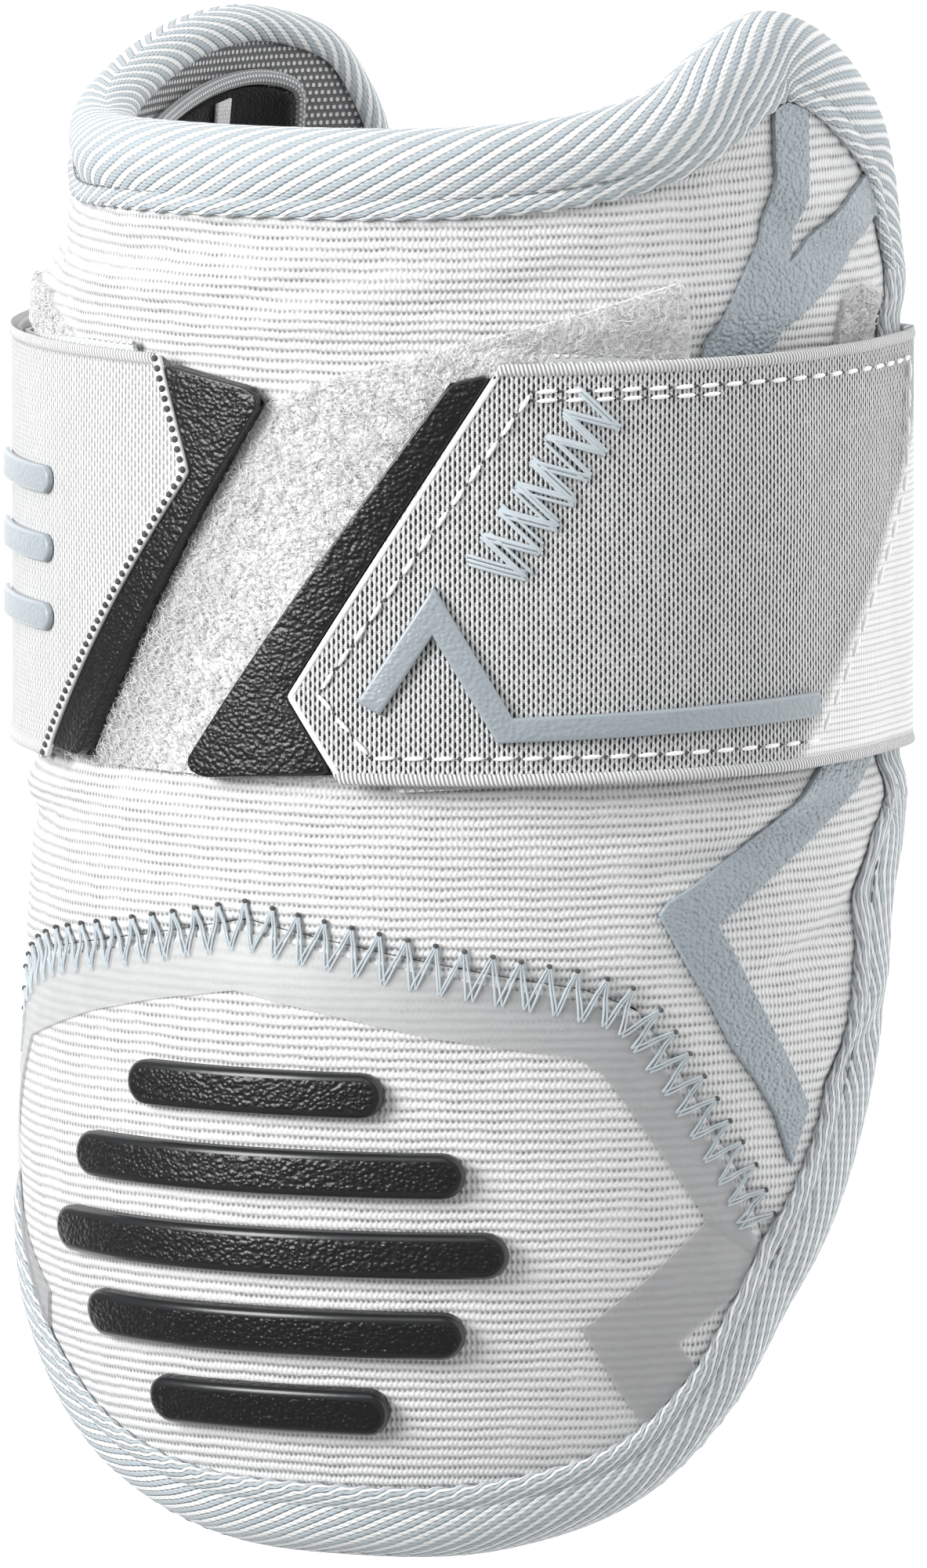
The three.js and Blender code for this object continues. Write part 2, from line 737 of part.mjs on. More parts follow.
// Where the seam runs out of the layers' edge, to the left and to the right
function seamExit(side) {
  let inside = onGuard(SEAM[8]).u;
  let outside = side < 0 ? seamPoints[0].u : seamPoints[seamPoints.length - 1].u;
  for (let i = 0; i < 30; i += 1) {
    const middle = (inside + outside) / 2;
    if (seamHeight(middle) - SEAM_GAP / 2 > layerSpan(middle).low) inside = middle;
    else outside = middle;
  }
  return inside;
}

const seamEnds = [seamExit(-1), seamExit(1)];

function sleevePad() {
  const columns = columnsThrough([-layerReach, ...hollows, ...seamEnds, onGuard(SEAM[8]).u, layerReach]);
  return wall({ columns, span: sleeveSpan, layer: knit, map: wrap });
}

function elbowCup() {
  const columns = columnsThrough([...seamEnds, onGuard(SEAM[8]).u]);
  return wall({ columns, span: cupSpan, layer: knit, map: wrap });
}

function meshFacing() {
  const columns = columnsThrough([-layerReach, ...hollows, layerReach]);
  return wall({ columns, span: layerSpan, layer: facing, map: wrap });
}

// The pad's edge runs inside the binding, cut off straight at its sides and rounded off
function pipingLine() {
  const reach = FORM_RADIUS * radians(PAD_SIDE_ANGLE);
  const cut = inset(fullEdge, PIPING_INSET).map((point) => (
    { u: THREE.MathUtils.clamp(point.u, -reach, reach), v: point.v }
  ));
  const rounded = cut.map((point, i) => {
    const a = cut[(i + cut.length - 1) % cut.length];
    const b = cut[(i + 1) % cut.length];
    return { u: (a.u + 2 * point.u + b.u) / 4, v: (a.v + 2 * point.v + b.v) / 4 };
  });
  return rounded;
}

function pipingSection() {
  const middle = (pad.from + pad.to) / 2;
  return Array.from({ length: 5 }, (_, i) => {
    const angle = (i * Math.PI * 2) / 5;
    return { s: PIPING_RADIUS * Math.cos(angle), w: middle + PIPING_RADIUS * Math.sin(angle) };
  });
}

const piping = pipingLine();
const padLoop = inset(piping, PIPING_RADIUS + CLEARANCE);
const padSpan = spanOf(padLoop);

function innerPad() {
  const reach = padLoop.map((point) => point.u);
  const columns = columnsThrough([Math.min(...reach) + 0.2, Math.max(...reach) - 0.2]);
  return wall({ columns, span: padSpan, layer: pad, map: wrap });
}

function padTape() {
  const middle = FORM_RADIUS * radians(TAPE_ANGLE);
  const columns = [middle - TAPE_WIDTH / 2, middle + TAPE_WIDTH / 2];
  const span = (u) => ({ low: padSpan(u).low * 0.6, high: padSpan(u).high - CLEARANCE });
  return wall({ columns, span, layer: tape, map: wrap });
}

// The strap's path round the arm, from its right end to its left one: up the right side, a small
// bend on to its flat back, and up the left side
const strapMiddle = (strap.from + strap.to) / 2;
const strapRadius = FORM_RADIUS + strapMiddle;
const bendRadius = STRAP_BEND + STRAP_THICKNESS / 2;
const bendHeight = STRAP_THICKNESS / 2 + bendRadius;
const bendDrop = AXIS_HEIGHT - bendHeight;
const flatHalf = Math.sqrt((strapRadius - bendRadius) ** 2 - bendDrop ** 2);
const bendTurn = Math.atan2(flatHalf, bendDrop);
const bendLength = bendRadius * bendTurn;

function strapPlace(angleFromCrown, side) {
  const round = strapRadius * (Math.PI - bendTurn - side * angleFromCrown);
  return -side * (flatHalf + bendLength + round);
}

function strapPoint(q, v, w) {
  const side = q < 0 ? 1 : -1;
  const path = Math.abs(q);
  const out = w - strapMiddle;
  if (path <= flatHalf) return new THREE.Vector3(-q, v, STRAP_THICKNESS / 2 - out);
  if (path <= flatHalf + bendLength) {
    const turn = (path - flatHalf) / bendRadius;
    const radius = bendRadius + out;
    const x = flatHalf + radius * Math.sin(turn);
    return new THREE.Vector3(side * x, v, bendHeight - radius * Math.cos(turn));
  }
  const turn = Math.PI - bendTurn - (path - flatHalf - bendLength) / strapRadius;
  const radius = strapRadius + out;
  return new THREE.Vector3(side * radius * Math.sin(turn), v, AXIS_HEIGHT + radius * Math.cos(turn));
}

function armStrap() {
  const end = (rows, side) => rows.map(onStrapLine).map(({ u, v }) => (
    { u: strapPlace(u / FORM_RADIUS, side), v }
  ));
  const loop = [...end(STRAP_RIGHT_END, 1), ...end(STRAP_LEFT_END, -1)];
  const bend = [0, 1, 2, 3].map((i) => flatHalf + (bendLength * i) / 3);
  const ends = loop.map((point) => point.u);
  const right = columnsThrough([...ends.filter((q) => q < 0), -bend[3]]);
  const left = columnsThrough([...ends.filter((q) => q > 0), bend[3]]);
  const middle = [-bend[2], -bend[1], -bend[0], bend[0], bend[1], bend[2]];
  const columns = [...right, ...middle, ...left];
  return wall({ columns, span: spanOf(loop), lines: [-1, 1], layer: strap, map: strapPoint });
}

// The line of a strap's end moved across the guard, and run on or cut short at the strap's edges
function endLine(rows, shift, share = 1) {
  const line = rows.map(onStrapLine);
  const tip = line[1];
  return line.map((point) => {
    if (point === tip) return { u: tip.u + shift, v: tip.v };
    const reach = (point.v * share - tip.v) / (point.v - tip.v);
    return { u: tip.u + (point.u - tip.u) * reach + shift, v: point.v * share };
  });
}

// A moulded tab: a bevelled body outside the strap's end, and a thin flange that goes under it
function pullTab(outerRows, endRows, side) {
  const outline = [...outerRows.map(onStrapLine), ...endLine(endRows, side * TAB_UNDERLAP, TAB_SHARE)];
  const strapEnd = endLine(endRows, -side * TAB_EASE);
  const [first, last] = [strapEnd[0], strapEnd[strapEnd.length - 1]];
  const behind = 4 * side * TAB_UNDERLAP;
  const under = [...strapEnd, { u: last.u + behind, v: last.v }, { u: first.u + behind, v: first.v }];
  const cover = plate(under, { from: hooks.to, to: tab.to + CLEARANCE });
  return wrapped(plate(outline, tab, RUBBER_EDGE).subtract(cover));
}

// The hook tape under a strap's end: it ends short of the tab's flange
function hookPatch(outerRows, endRows, side) {
  const shift = side * (TAB_UNDERLAP + TAB_EASE);
  const outline = [...outerRows.map(onStrapLine), ...endLine(endRows, shift, HOOK_SHARE)];
  return wrapped(plate(outline, hooks));
}

// A bar with round ends and a bevelled top, lying across the guard
function bar(middle, length, width, layer) {
  const half = width / 2;
  const reach = length / 2;
  const round = [1, 0.92, 0.7, 0.38, 0].map((share) => reach - half + half * share);
  const stops = [...round, ...round.map((place) => -place)].map((place) => middle.u + place);
  const columns = columnsThrough(stops);
  const sections = columns.map((u) => {
    const past = Math.max(0, Math.abs(u - middle.u) - reach + half);
    const edge = Math.sqrt(Math.max(0, half ** 2 - past ** 2));
    const crown = Math.max(0, edge - RUBBER_EDGE);
    const top = edge < RUBBER_EDGE ? layer.to - RUBBER_EDGE : layer.to;
    return [
      wrap(u, middle.v - edge, layer.from),
      wrap(u, middle.v + edge, layer.from),
      wrap(u, middle.v + edge, layer.to - RUBBER_EDGE),
      wrap(u, middle.v + crown, top),
      wrap(u, middle.v - crown, top),
      wrap(u, middle.v - edge, layer.to - RUBBER_EDGE),
    ];
  });
  const count = sections[0].length;
  const triangles = sections.slice(1).flatMap((_, i) => sections[0].flatMap((__, j) => {
    const next = (j + 1) % count;
    return quad(i * count + j, i * count + next, (i + 1) * count + next, (i + 1) * count + j);
  }));
  return closedGeometry(sections.flat(), triangles);
}

function bumperBar(i) {
  const fromMiddle = (BUMPER_LENGTHS.length - 1) / 2 - i;
  const middle = {
    u: FORM_RADIUS * radians(BUMPER_ANGLE),
    v: BUMPER_MIDDLE * CUP_DROP + fromMiddle * BUMPER_PITCH,
  };
  return bar(middle, BUMPER_LENGTHS[i] * BUMPER_LENGTH, BUMPER_WIDTH, bumper);
}

function strapBar(i) {
  const middle = { u: FORM_RADIUS * radians(STRAP_BAR_ANGLE), v: (1 - i) * STRAP_BAR_PITCH };
  return bar(middle, STRAP_BAR_LENGTH, STRAP_BAR_WIDTH, strapTrim);
}

// A line of even width through a few points, with mitred corners
function strapStripe() {
  const line = STRAP_STRIPE.map(onStrapLine);
  const offsets = line.map((point, i) => {
    const before = line[Math.max(i - 1, 0)];
    const after = line[Math.min(i + 1, line.length - 1)];
    const into = new THREE.Vector2(point.u - before.u, point.v - before.v).normalize();
    const out = new THREE.Vector2(after.u - point.u, after.v - point.v).normalize();
    const run = into.clone().add(out).normalize();
    const reach = STRAP_STRIPE_WIDTH / 2 / Math.max(Math.abs(run.dot(out)), Math.abs(run.dot(into)));
    return { u: -run.y * reach, v: run.x * reach };
  });
  const left = line.map((point, i) => ({ u: point.u + offsets[i].u, v: point.v + offsets[i].v }));
  const right = line.map((point, i) => ({ u: point.u - offsets[i].u, v: point.v - offsets[i].v }));
  return wrapped(plate([...left, ...right.reverse()], strapTrim));
}

// Thin trim on the open knit, cut off where the binding begins
function trim(loops, layer) {
  const whole = loops.map((loop) => plate(loop, layer)).reduce((a, b) => a.add(b));
  return wrapped(whole.intersect(plate(openKnit, layer)));
}

function seamFilm() {
  const mirrored = ({ across, along }) => ({ across: 2 * FILM_MIRROR - across, along });
  const band = [...FILM_OUTER, ...[...FILM_INNER].reverse()].map(onGuard);
  const right = FILM_CORNER.map(onGuard);
  const left = FILM_CORNER.map(mirrored).map(onGuard);
  return trim([band, right, left], film);
}

const finishes = {
  knit: { color: "#f2f3f4", roughness: 0.95, metalness: 0 },
  mesh: { color: "#e9ebec", roughness: 0.95, metalness: 0 },
  lining: { color: "#17181a", roughness: 0.95, metalness: 0 },
  binding: { color: "#dfe5e8", roughness: 0.9, metalness: 0 },
  fleece: { color: "#e8e9ea", roughness: 1, metalness: 0 },
  elastic: { color: "#e4e6e8", roughness: 0.9, metalness: 0 },
  rubber: { color: "#1d1e20", roughness: 0.45, metalness: 0 },
  greyRubber: { color: "#a9b3ba", roughness: 0.5, metalness: 0 },
  film: { color: "#d3d6d8", roughness: 0.35, metalness: 0 },
};

function piece(name, geometry, finish) {
  const mesh = new THREE.Mesh(geometry, new THREE.MeshStandardMaterial(finishes[finish]));
  mesh.name = name;
  return mesh;
}

const guard = new THREE.Group();
guard.name = "elbow_guard";
guard.add(
  piece("sleeve_pad", sleevePad(), "knit"),
  piece("elbow_cup", elbowCup(), "knit"),
  piece("mesh_facing", meshFacing(), "mesh"),
  piece("inner_pad", innerPad(), "lining"),
  piece("pad_piping", ring(piping, pipingSection(), wrap), "mesh"),
  piece("pad_tape", padTape(), "mesh"),
  piece("edge_binding", ring(edge, BINDING_SECTION, wrap), "binding"),
  piece("loop_panel_front", patch(LOOP_FRONT.map(onStrapLine), loops), "fleece"),
  piece("loop_panel_left", patch(LOOP_LEFT.map(onStrapLine), loops), "fleece"),
  piece("loop_panel_right", patch(LOOP_RIGHT.map(onStrapLine), loops), "fleece"),
  piece("hook_patch_left", hookPatch(HOOK_LEFT, STRAP_LEFT_END, -1), "mesh"),
  piece("hook_patch_right", hookPatch(HOOK_RIGHT, STRAP_RIGHT_END, 1), "mesh"),
  piece("arm_strap", armStrap(), "elastic"),
  piece("pull_tab_left", pullTab(TAB_LEFT, STRAP_LEFT_END, -1), "rubber"),
  piece("pull_tab_right", pullTab(TAB_RIGHT, STRAP_RIGHT_END, 1), "rubber"),
  piece("strap_stripe", strapStripe(), "greyRubber"),
  piece("flap_stripe", trim([FLAP_STRIPE.map(onGuard)], stripe), "greyRubber"),
  piece("side_stripe", trim([SIDE_STRIPE.map(onGuard)], stripe), "greyRubber"),
  piece("seam_film", seamFilm(), "film"),
);
BUMPER_LENGTHS.forEach((_, i) => guard.add(piece(`bumper_bar_${i + 1}`, bumperBar(i), "rubber")));
[0, 1, 2].forEach((i) => guard.add(piece(`strap_bar_${i + 1}`, strapBar(i), "greyRubber")));

export default guard;
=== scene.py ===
# %% [markdown]
# # A batter's elbow guard
# The real thing is a padded sleeve that opens along the inside of the arm. A white rib knit covers
# foam, a twill-striped tape is folded round its whole edge, an elbow cup is sewn in below a zigzag
# seam, and a wide elastic strap goes round behind the arm and sticks to fuzzy panels in front.
# The lesson dresses the plain CAD solids: every soft piece is made again, finer, on the same form.

# %% Start: the CAD model's parts, in world coordinates
import math
import bmesh
import bpy
import numpy as np
from mathutils import Matrix, Vector


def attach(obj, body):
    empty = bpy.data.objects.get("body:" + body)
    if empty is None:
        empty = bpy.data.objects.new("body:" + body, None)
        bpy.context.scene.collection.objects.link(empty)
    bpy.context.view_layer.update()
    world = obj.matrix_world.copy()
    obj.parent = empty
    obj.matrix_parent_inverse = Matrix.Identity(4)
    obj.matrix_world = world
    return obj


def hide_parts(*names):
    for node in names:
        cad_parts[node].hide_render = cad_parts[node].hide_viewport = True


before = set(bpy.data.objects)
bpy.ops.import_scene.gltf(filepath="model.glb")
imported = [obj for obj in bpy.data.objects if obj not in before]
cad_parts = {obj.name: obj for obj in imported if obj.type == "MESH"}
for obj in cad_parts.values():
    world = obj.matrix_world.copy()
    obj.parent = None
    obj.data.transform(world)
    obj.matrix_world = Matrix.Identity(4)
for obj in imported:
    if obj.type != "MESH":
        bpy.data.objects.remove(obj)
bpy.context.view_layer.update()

# %% [markdown]
# ## The form that everything is wrapped on
# The guard was cut flat and sewn into a tube, so each piece is drawn flat here too: u runs across
# the guard and v along it, in millimetres, and w is the lift out of the knit's face. One function
# then rolls the flat drawing round the arm. The radius follows a short table, so the tube narrows
# towards the elbow, and the collar is tucked in and curls inwards at its left. The sizes are the
# CAD model's own.

# %% Sizes of the form, in millimetres
FORM_RADIUS = 62.0
SIDE_ARC = FORM_RADIUS * math.radians(128.6)
COLLAR_RISE = 78.0
CUP_DROP = 146.0
COLLAR_CURL = 4.5
CURL_START = 34.0
COLLAR_TUCK = 5.5
STRAP_HALF = 30.5
GIRTH = np.array([
    (-1, 0.766), (-0.969, 0.815), (-0.9, 0.903), (-0.83, 0.96), (-0.761, 1.0), (-0.692, 1.024),
    (-0.6, 1.032), (-0.415, 1.032), (-0.215, 1.0), (0.41, 1.0), (0.705, 0.994), (1, 0.99),
])


def soft_step(value, low, high):
    t = np.clip((np.asarray(value, float) - low) / (high - low), 0, 1)
    return t * t * (3 - 2 * t)


def girth(share):
    at, size = GIRTH.T
    rise = np.diff(size) / np.diff(at)
    turning = rise[:-1] * rise[1:] <= 0
    total = np.where(turning, 1, rise[:-1] + rise[1:])
    inner = np.where(turning, 0, 2 * rise[:-1] * rise[1:] / total)
    slope = np.concatenate([rise[:1], inner, rise[-1:]])
    i = np.clip(np.searchsorted(at, share, side="right") - 1, 0, len(at) - 2)
    length = at[i + 1] - at[i]
    t = np.clip((share - at[i]) / length, 0, 1)
    level = size[i] * (1 + 2 * t) * (1 - t) ** 2 + size[i + 1] * (3 - 2 * t) * t ** 2
    level = level + length * t * (1 - t) * (slope[i] * (1 - t) - slope[i + 1] * t)
    past = np.minimum(share - at[0], 0) * slope[0] + np.maximum(share - at[-1], 0) * slope[-1]
    return level + past


def form_point(u, v):
    turn = u / FORM_RADIUS
    curl = soft_step(-turn, math.radians(20), math.radians(100))
    rise = np.maximum(0, v - CURL_START) / (COLLAR_RISE - CURL_START)
    share = v / np.where(v < 0, CUP_DROP, COLLAR_RISE)
    tucked = soft_step(-turn, *np.radians([5, 45])) - soft_step(-turn, *np.radians([60, 110]))
    tuck = COLLAR_TUCK * tucked * soft_step(v, 28, 54)
    radius = FORM_RADIUS * girth(share) - COLLAR_CURL * curl * rise ** 1.5 - tuck
    return np.stack([radius * np.sin(turn), v, radius * np.cos(turn)], -1)


def wrap_on_axis(u, v, w):
    u, v, w = np.broadcast_arrays(*(np.asarray(x, float) for x in (u, v, w)))
    across = form_point(u + 0.01, v) - form_point(u - 0.01, v)
    along = form_point(u, v + 0.01) - form_point(u, v - 0.01)
    out = np.cross(across, along)
    out /= np.linalg.norm(out, axis=-1, keepdims=True)
    return form_point(u, v) + out * w[..., None]


# %% [markdown]
# ## The outline of the laid-out guard
# The edge is one closed curve through a few points. The same curve is read coarsely by the CAD and
# finely here. Insets of it place the layers under the folded tape, and a column's lowest and
# highest point on it say how long that column of a layer is.

# %% The edge line and its insets
OUTLINE = np.array([
    (0.117, 0.815), (0.319, 0.822), (0.435, 0.841), (0.528, 0.879), (0.601, 0.955), (0.684, 1.015),
    (0.762, 0.985), (0.863, 0.885), (0.925, 0.8), (0.976, 0.66), (1.0, 0.53), (1.0, 0.0),
    (1.0, -0.266), (0.964, -0.325), (0.905, -0.374), (0.876, -0.464), (0.836, -0.561),
    (0.767, -0.675), (0.704, -0.756), (0.645, -0.853), (0.544, -0.943), (0.372, -0.992),
    (0.156, -1.0), (-0.047, -0.988), (-0.199, -0.943), (-0.327, -0.865), (-0.467, -0.734),
    (-0.622, -0.609), (-0.778, -0.484), (-0.918, -0.374), (-0.98, -0.311), (-1.0, -0.266),
    (-1.0, 0.0), (-1.0, 0.494), (-0.995, 0.68), (-0.964, 0.8), (-0.918, 0.888),
    (-0.81, 0.94), (-0.7, 0.93), (-0.6, 0.897), (-0.467, 0.85), (-0.3, 0.806),
    (-0.07, 0.812),
])


def on_guard(rows):
    across, along = np.asarray(rows, float).T
    return np.stack([across * SIDE_ARC, along * np.where(along < 0, CUP_DROP, COLLAR_RISE)], 1)


def on_strap_line(rows):
    return np.asarray(rows, float) * [SIDE_ARC, STRAP_HALF]


def smooth_loop(knots, step):
    samples = []
    for i in range(len(knots)):
        p0, p1, p2, p3 = (knots[(i + k) % len(knots)] for k in (-1, 0, 1, 2))
        d0, d1, d2 = (math.dist(a, b) ** 0.5 for a, b in ((p0, p1), (p1, p2), (p2, p3)))
        m1 = ((p1 - p0) / d0 - (p2 - p0) / (d0 + d1) + (p2 - p1) / d1) * d1
        m2 = ((p2 - p1) / d1 - (p3 - p1) / (d1 + d2) + (p3 - p2) / d2) * d1
        steps = max(1, int(math.dist(p1, p2) / step + 0.5))
        t = (np.arange(steps) / steps)[:, None]
        bend = (3 * p2 - 3 * p1 - 2 * m1 - m2) * t ** 2 + (2 * p1 - 2 * p2 + m1 + m2) * t ** 3
        samples.append(p1 + m1 * t + bend)
    return np.concatenate(samples)


def inward(loop):
    run = np.roll(loop, -1, 0) - np.roll(loop, 1, 0)
    run /= np.linalg.norm(run, axis=1)[:, None]
    return np.stack([run[:, 1], -run[:, 0]], 1)


def distance_to(line, points, closed=False):
    ends = np.roll(line, -1, 0) if closed else line[1:]
    starts = line if closed else line[:-1]
    nearest = np.full(len(points), 1e9)
    for a, b in zip(starts, ends):
        t = np.clip((points - a) @ (b - a) / max((b - a) @ (b - a), 1e-9), 0, 1)
        nearest = np.minimum(nearest, np.linalg.norm(points - a - t[:, None] * (b - a), axis=1))
    return nearest


def inset(loop, distance):
    moved = loop + inward(loop) * distance
    return moved[distance_to(loop, moved, closed=True) > distance * 0.985]


def span_of(loop):
    def span(columns):
        a, b = loop, np.roll(loop, -1, 0)
        run = np.where(a[:, 0] == b[:, 0], 1e-9, b[:, 0] - a[:, 0])
        t = (np.asarray(columns)[:, None] - a[:, 0]) / run
        v = a[:, 1] + (b[:, 1] - a[:, 1]) * t
        hit = (t >= 0) & (t <= 1)
        return np.where(hit, v, 1e9).min(1), np.where(hit, v, -1e9).max(1)
    return span


BINDING_SECTION = np.array([
    (12.8, 0.45), (12.8, 1.65), (3.1, 2.05), (0, -0.95), (0, -5.35),
    (3.1, -8.25), (5.0, -8.15), (5.0, -6.75), (2.4, -6.75), (2.4, 0.45),
])
coarse_edge = smooth_loop(on_guard(OUTLINE), 9)
reach = coarse_edge[:, None] + inward(coarse_edge)[:, None] * BINDING_SECTION[:, :1]
lowest = wrap_on_axis(reach[..., 0], reach[..., 1], BINDING_SECTION[:, 1]).min((0, 1))[2]
AXIS_HEIGHT = 0.1 - lowest
print("The arm's axis stands", round(AXIS_HEIGHT, 2), "mm above the surface")


def wrap(u, v, w):
    return wrap_on_axis(u, v, w) + [0, 0, AXIS_HEIGHT]


# %% [markdown]
# The strap passes flat under the guard, so the two side edges are notched in there. The notch is as
# deep as the lowest point of the folded tape needs to clear the strap.

# %% The notched edge
near, far = SIDE_ARC * 0.8, SIDE_ARC
for _ in range(30):
    middle = (near + far) / 2
    low = wrap(middle - BINDING_SECTION[:, 0], 0, BINDING_SECTION[:, 1])[:, 2].min()
    near, far = (middle, far) if low > 1.9 else (near, middle)
NOTCHED_ARC = near
LAYER_INSET = 3.8
OPEN_KNIT_INSET = 13.1


def notched(line):
    opening = soft_step(np.abs(line[:, 1]), STRAP_HALF + 2, STRAP_HALF + 10)
    side_reach = NOTCHED_ARC + (SIDE_ARC - NOTCHED_ARC + 1) * opening
    return np.stack([np.clip(line[:, 0], -side_reach, side_reach), line[:, 1]], 1)


full_edge = smooth_loop(on_guard(OUTLINE), 1.2)
edge = notched(full_edge)
layer_loop = inset(full_edge, LAYER_INSET)
layer_reach = NOTCHED_ARC - LAYER_INSET
open_knit = inset(edge, OPEN_KNIT_INSET)
print("Edge:", len(edge), "samples; the layers reach", round(layer_reach, 1), "mm to each side")

# %% [markdown]
# ## Small tools for meshes
# A woven or knitted sheet is a bmesh grid whose vertices are moved on to the form in one go, with
# the flat drawing kept as its UV map in millimetres. So a pattern in a material follows the cloth
# as it really does, round every curve and fold.

# %% Grids, welding and pieces
rng = np.random.default_rng(7)


def mesh_of(form, name):
    mesh = bpy.data.meshes.new(name)
    form.to_mesh(mesh)
    form.free()
    return mesh


def coordinates(mesh):
    flat = np.empty(len(mesh.vertices) * 3)
    mesh.vertices.foreach_get("co", flat)
    return flat.reshape(-1, 3)


def corners_of(mesh):
    corner = np.empty(len(mesh.loops), int)
    mesh.loops.foreach_get("vertex_index", corner)
    return corner


def weld(mesh, outwards=False):
    form = bmesh.new()
    form.from_mesh(mesh)
    bmesh.ops.remove_doubles(form, verts=form.verts, dist=1e-6)
    if outwards:
        bmesh.ops.recalc_face_normals(form, faces=form.faces)
    form.to_mesh(mesh)
    form.free()


def set_pattern(mesh, uv_of_vertices):
    layer = mesh.uv_layers.new(name="pattern")
    layer.data.foreach_set("uv", uv_of_vertices[corners_of(mesh)].astype(float).ravel())


def grid_mesh(name, points, pattern, outwards=False):
    rows, columns = points.shape[:2]
    form = bmesh.new()
    bmesh.ops.create_grid(form, x_segments=columns - 1, y_segments=rows - 1, size=1)
    mesh = mesh_of(form, name)
    share = (coordinates(mesh) + 1) / 2
    i = np.rint(share[:, 0] * (columns - 1)).astype(int)
    j = np.rint(share[:, 1] * (rows - 1)).astype(int)
    mesh.vertices.foreach_set("co", (points[j, i] / 1000).ravel())
    set_pattern(mesh, pattern[j, i])
    weld(mesh, outwards)
    mesh.shade_smooth()
    return mesh


def piece(name, mesh, finishes, stands_for=()):
    made = bpy.data.objects.new(name, mesh)
    bpy.context.scene.collection.objects.link(made)
    for finish in finishes:
        mesh.materials.append(finish)
    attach(made, "root")
    if stands_for:
        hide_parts(*stands_for)
    print(name, "has", sum(len(face.vertices) - 2 for face in mesh.polygons), "triangles")
    return made


def thicken(made, thickness):
    wall = made.modifiers.new("wall", "SOLIDIFY")
    wall.thickness = thickness / 1000
    wall.offset = -1
    wall.use_even_offset = True


# %% [markdown]
# Plates such as moulded tabs, film and patches have an outline of their own. The outline becomes
# one flat face, it is extruded, its corners and top edge are bevelled, and it is cut across every
# few millimetres so that it can bend. Only then is it rolled on to the form.

# %% Plates and repeated stitches
def plate_mesh(name, outlines, low, high, where, rounding=0, corner=0, step=3.0):
    form = bmesh.new()
    for outline in outlines:
        corners = [form.verts.new((u, v, low)) for u, v in outline]
        form.faces.new(corners)
        if corner:
            bmesh.ops.bevel(form, geom=corners, offset=corner, segments=5, profile=0.5,
                            affect="VERTICES", material=-1, clamp_overlap=True)
    grown = bmesh.ops.extrude_face_region(form, geom=form.faces[:], use_keep_orig=True)
    top = [item for item in grown["geom"] if isinstance(item, bmesh.types.BMVert)]
    bmesh.ops.translate(form, vec=(0, 0, high - low), verts=top)
    bmesh.ops.recalc_face_normals(form, faces=form.faces)
    if rounding:
        rim = [e for e in form.edges if all(abs(v.co.z - high) < 1e-6 for v in e.verts)]
        bmesh.ops.bevel(form, geom=rim, offset=rounding, segments=3, profile=0.5,
                        affect="EDGES", material=1, clamp_overlap=True)
    for axis in (0, 1):
        values = [vertex.co[axis] for vertex in form.verts]
        for line in np.arange(min(values) + step / 2, max(values), step):
            at, normal = [0, 0, 0], [0, 0, 0]
            at[axis], normal[axis] = line, 1
            everything = form.verts[:] + form.edges[:] + form.faces[:]
            bmesh.ops.bisect_plane(form, geom=everything, plane_co=at, plane_no=normal, dist=1e-4)
    mesh = mesh_of(form, name)
    flat = coordinates(mesh)
    set_pattern(mesh, flat[:, :2])
    mesh.vertices.foreach_set("co", (where(*flat.T) / 1000).ravel())
    mesh.shade_smooth()
    mesh.set_sharp_from_angle(angle=math.radians(38))
    return mesh


def repeated(name, template, placed):
    mesh = bpy.data.meshes.new(name)
    count, size = placed.shape[:2]
    corner = corners_of(template)
    start = np.empty(len(template.polygons), int)
    template.polygons.foreach_get("loop_start", start)
    shift = np.arange(count)[:, None]
    mesh.vertices.add(count * size)
    mesh.loops.add(count * len(corner))
    mesh.polygons.add(count * len(start))
    mesh.vertices.foreach_set("co", (placed / 1000).ravel())
    mesh.loops.foreach_set("vertex_index", (corner + shift * size).ravel())
    mesh.polygons.foreach_set("loop_start", (start + shift * len(corner)).ravel())
    mesh.update(calc_edges=True)
    weld(mesh, outwards=True)
    mesh.shade_smooth()
    return mesh


def copies(name, template, origins, xs, ys, zs):
    shape = coordinates(template)
    placed = (origins[:, None] + shape[None, :, :1] * xs[:, None]
              + shape[None, :, 1:2] * ys[:, None] + shape[None, :, 2:] * zs[:, None])
    return repeated(name, template, placed)


def bead_template(segments=8, rings=6):
    form = bmesh.new()
    bmesh.ops.create_uvsphere(form, u_segments=segments, v_segments=rings, radius=1)
    return mesh_of(form, "bead")


def run_along(line):
    """How far along the line each of its points is."""
    return np.concatenate([[0], np.cumsum(np.linalg.norm(np.diff(line, axis=0), axis=1))])


def along_line(line, step, first=0.5):
    line = np.asarray(line, float)
    run = run_along(line)
    count = max(1, int(run[-1] / step))
    at = (np.arange(count) + first) * run[-1] / count
    points = np.stack([np.interp(at, run, line[:, k]) for k in range(2)], 1)
    ahead = np.stack([np.interp(at + 0.3, run, line[:, k]) for k in range(2)], 1)
    behind = np.stack([np.interp(at - 0.3, run, line[:, k]) for k in range(2)], 1)
    heading = ahead - behind
    return points, heading / np.linalg.norm(heading, axis=1)[:, None]


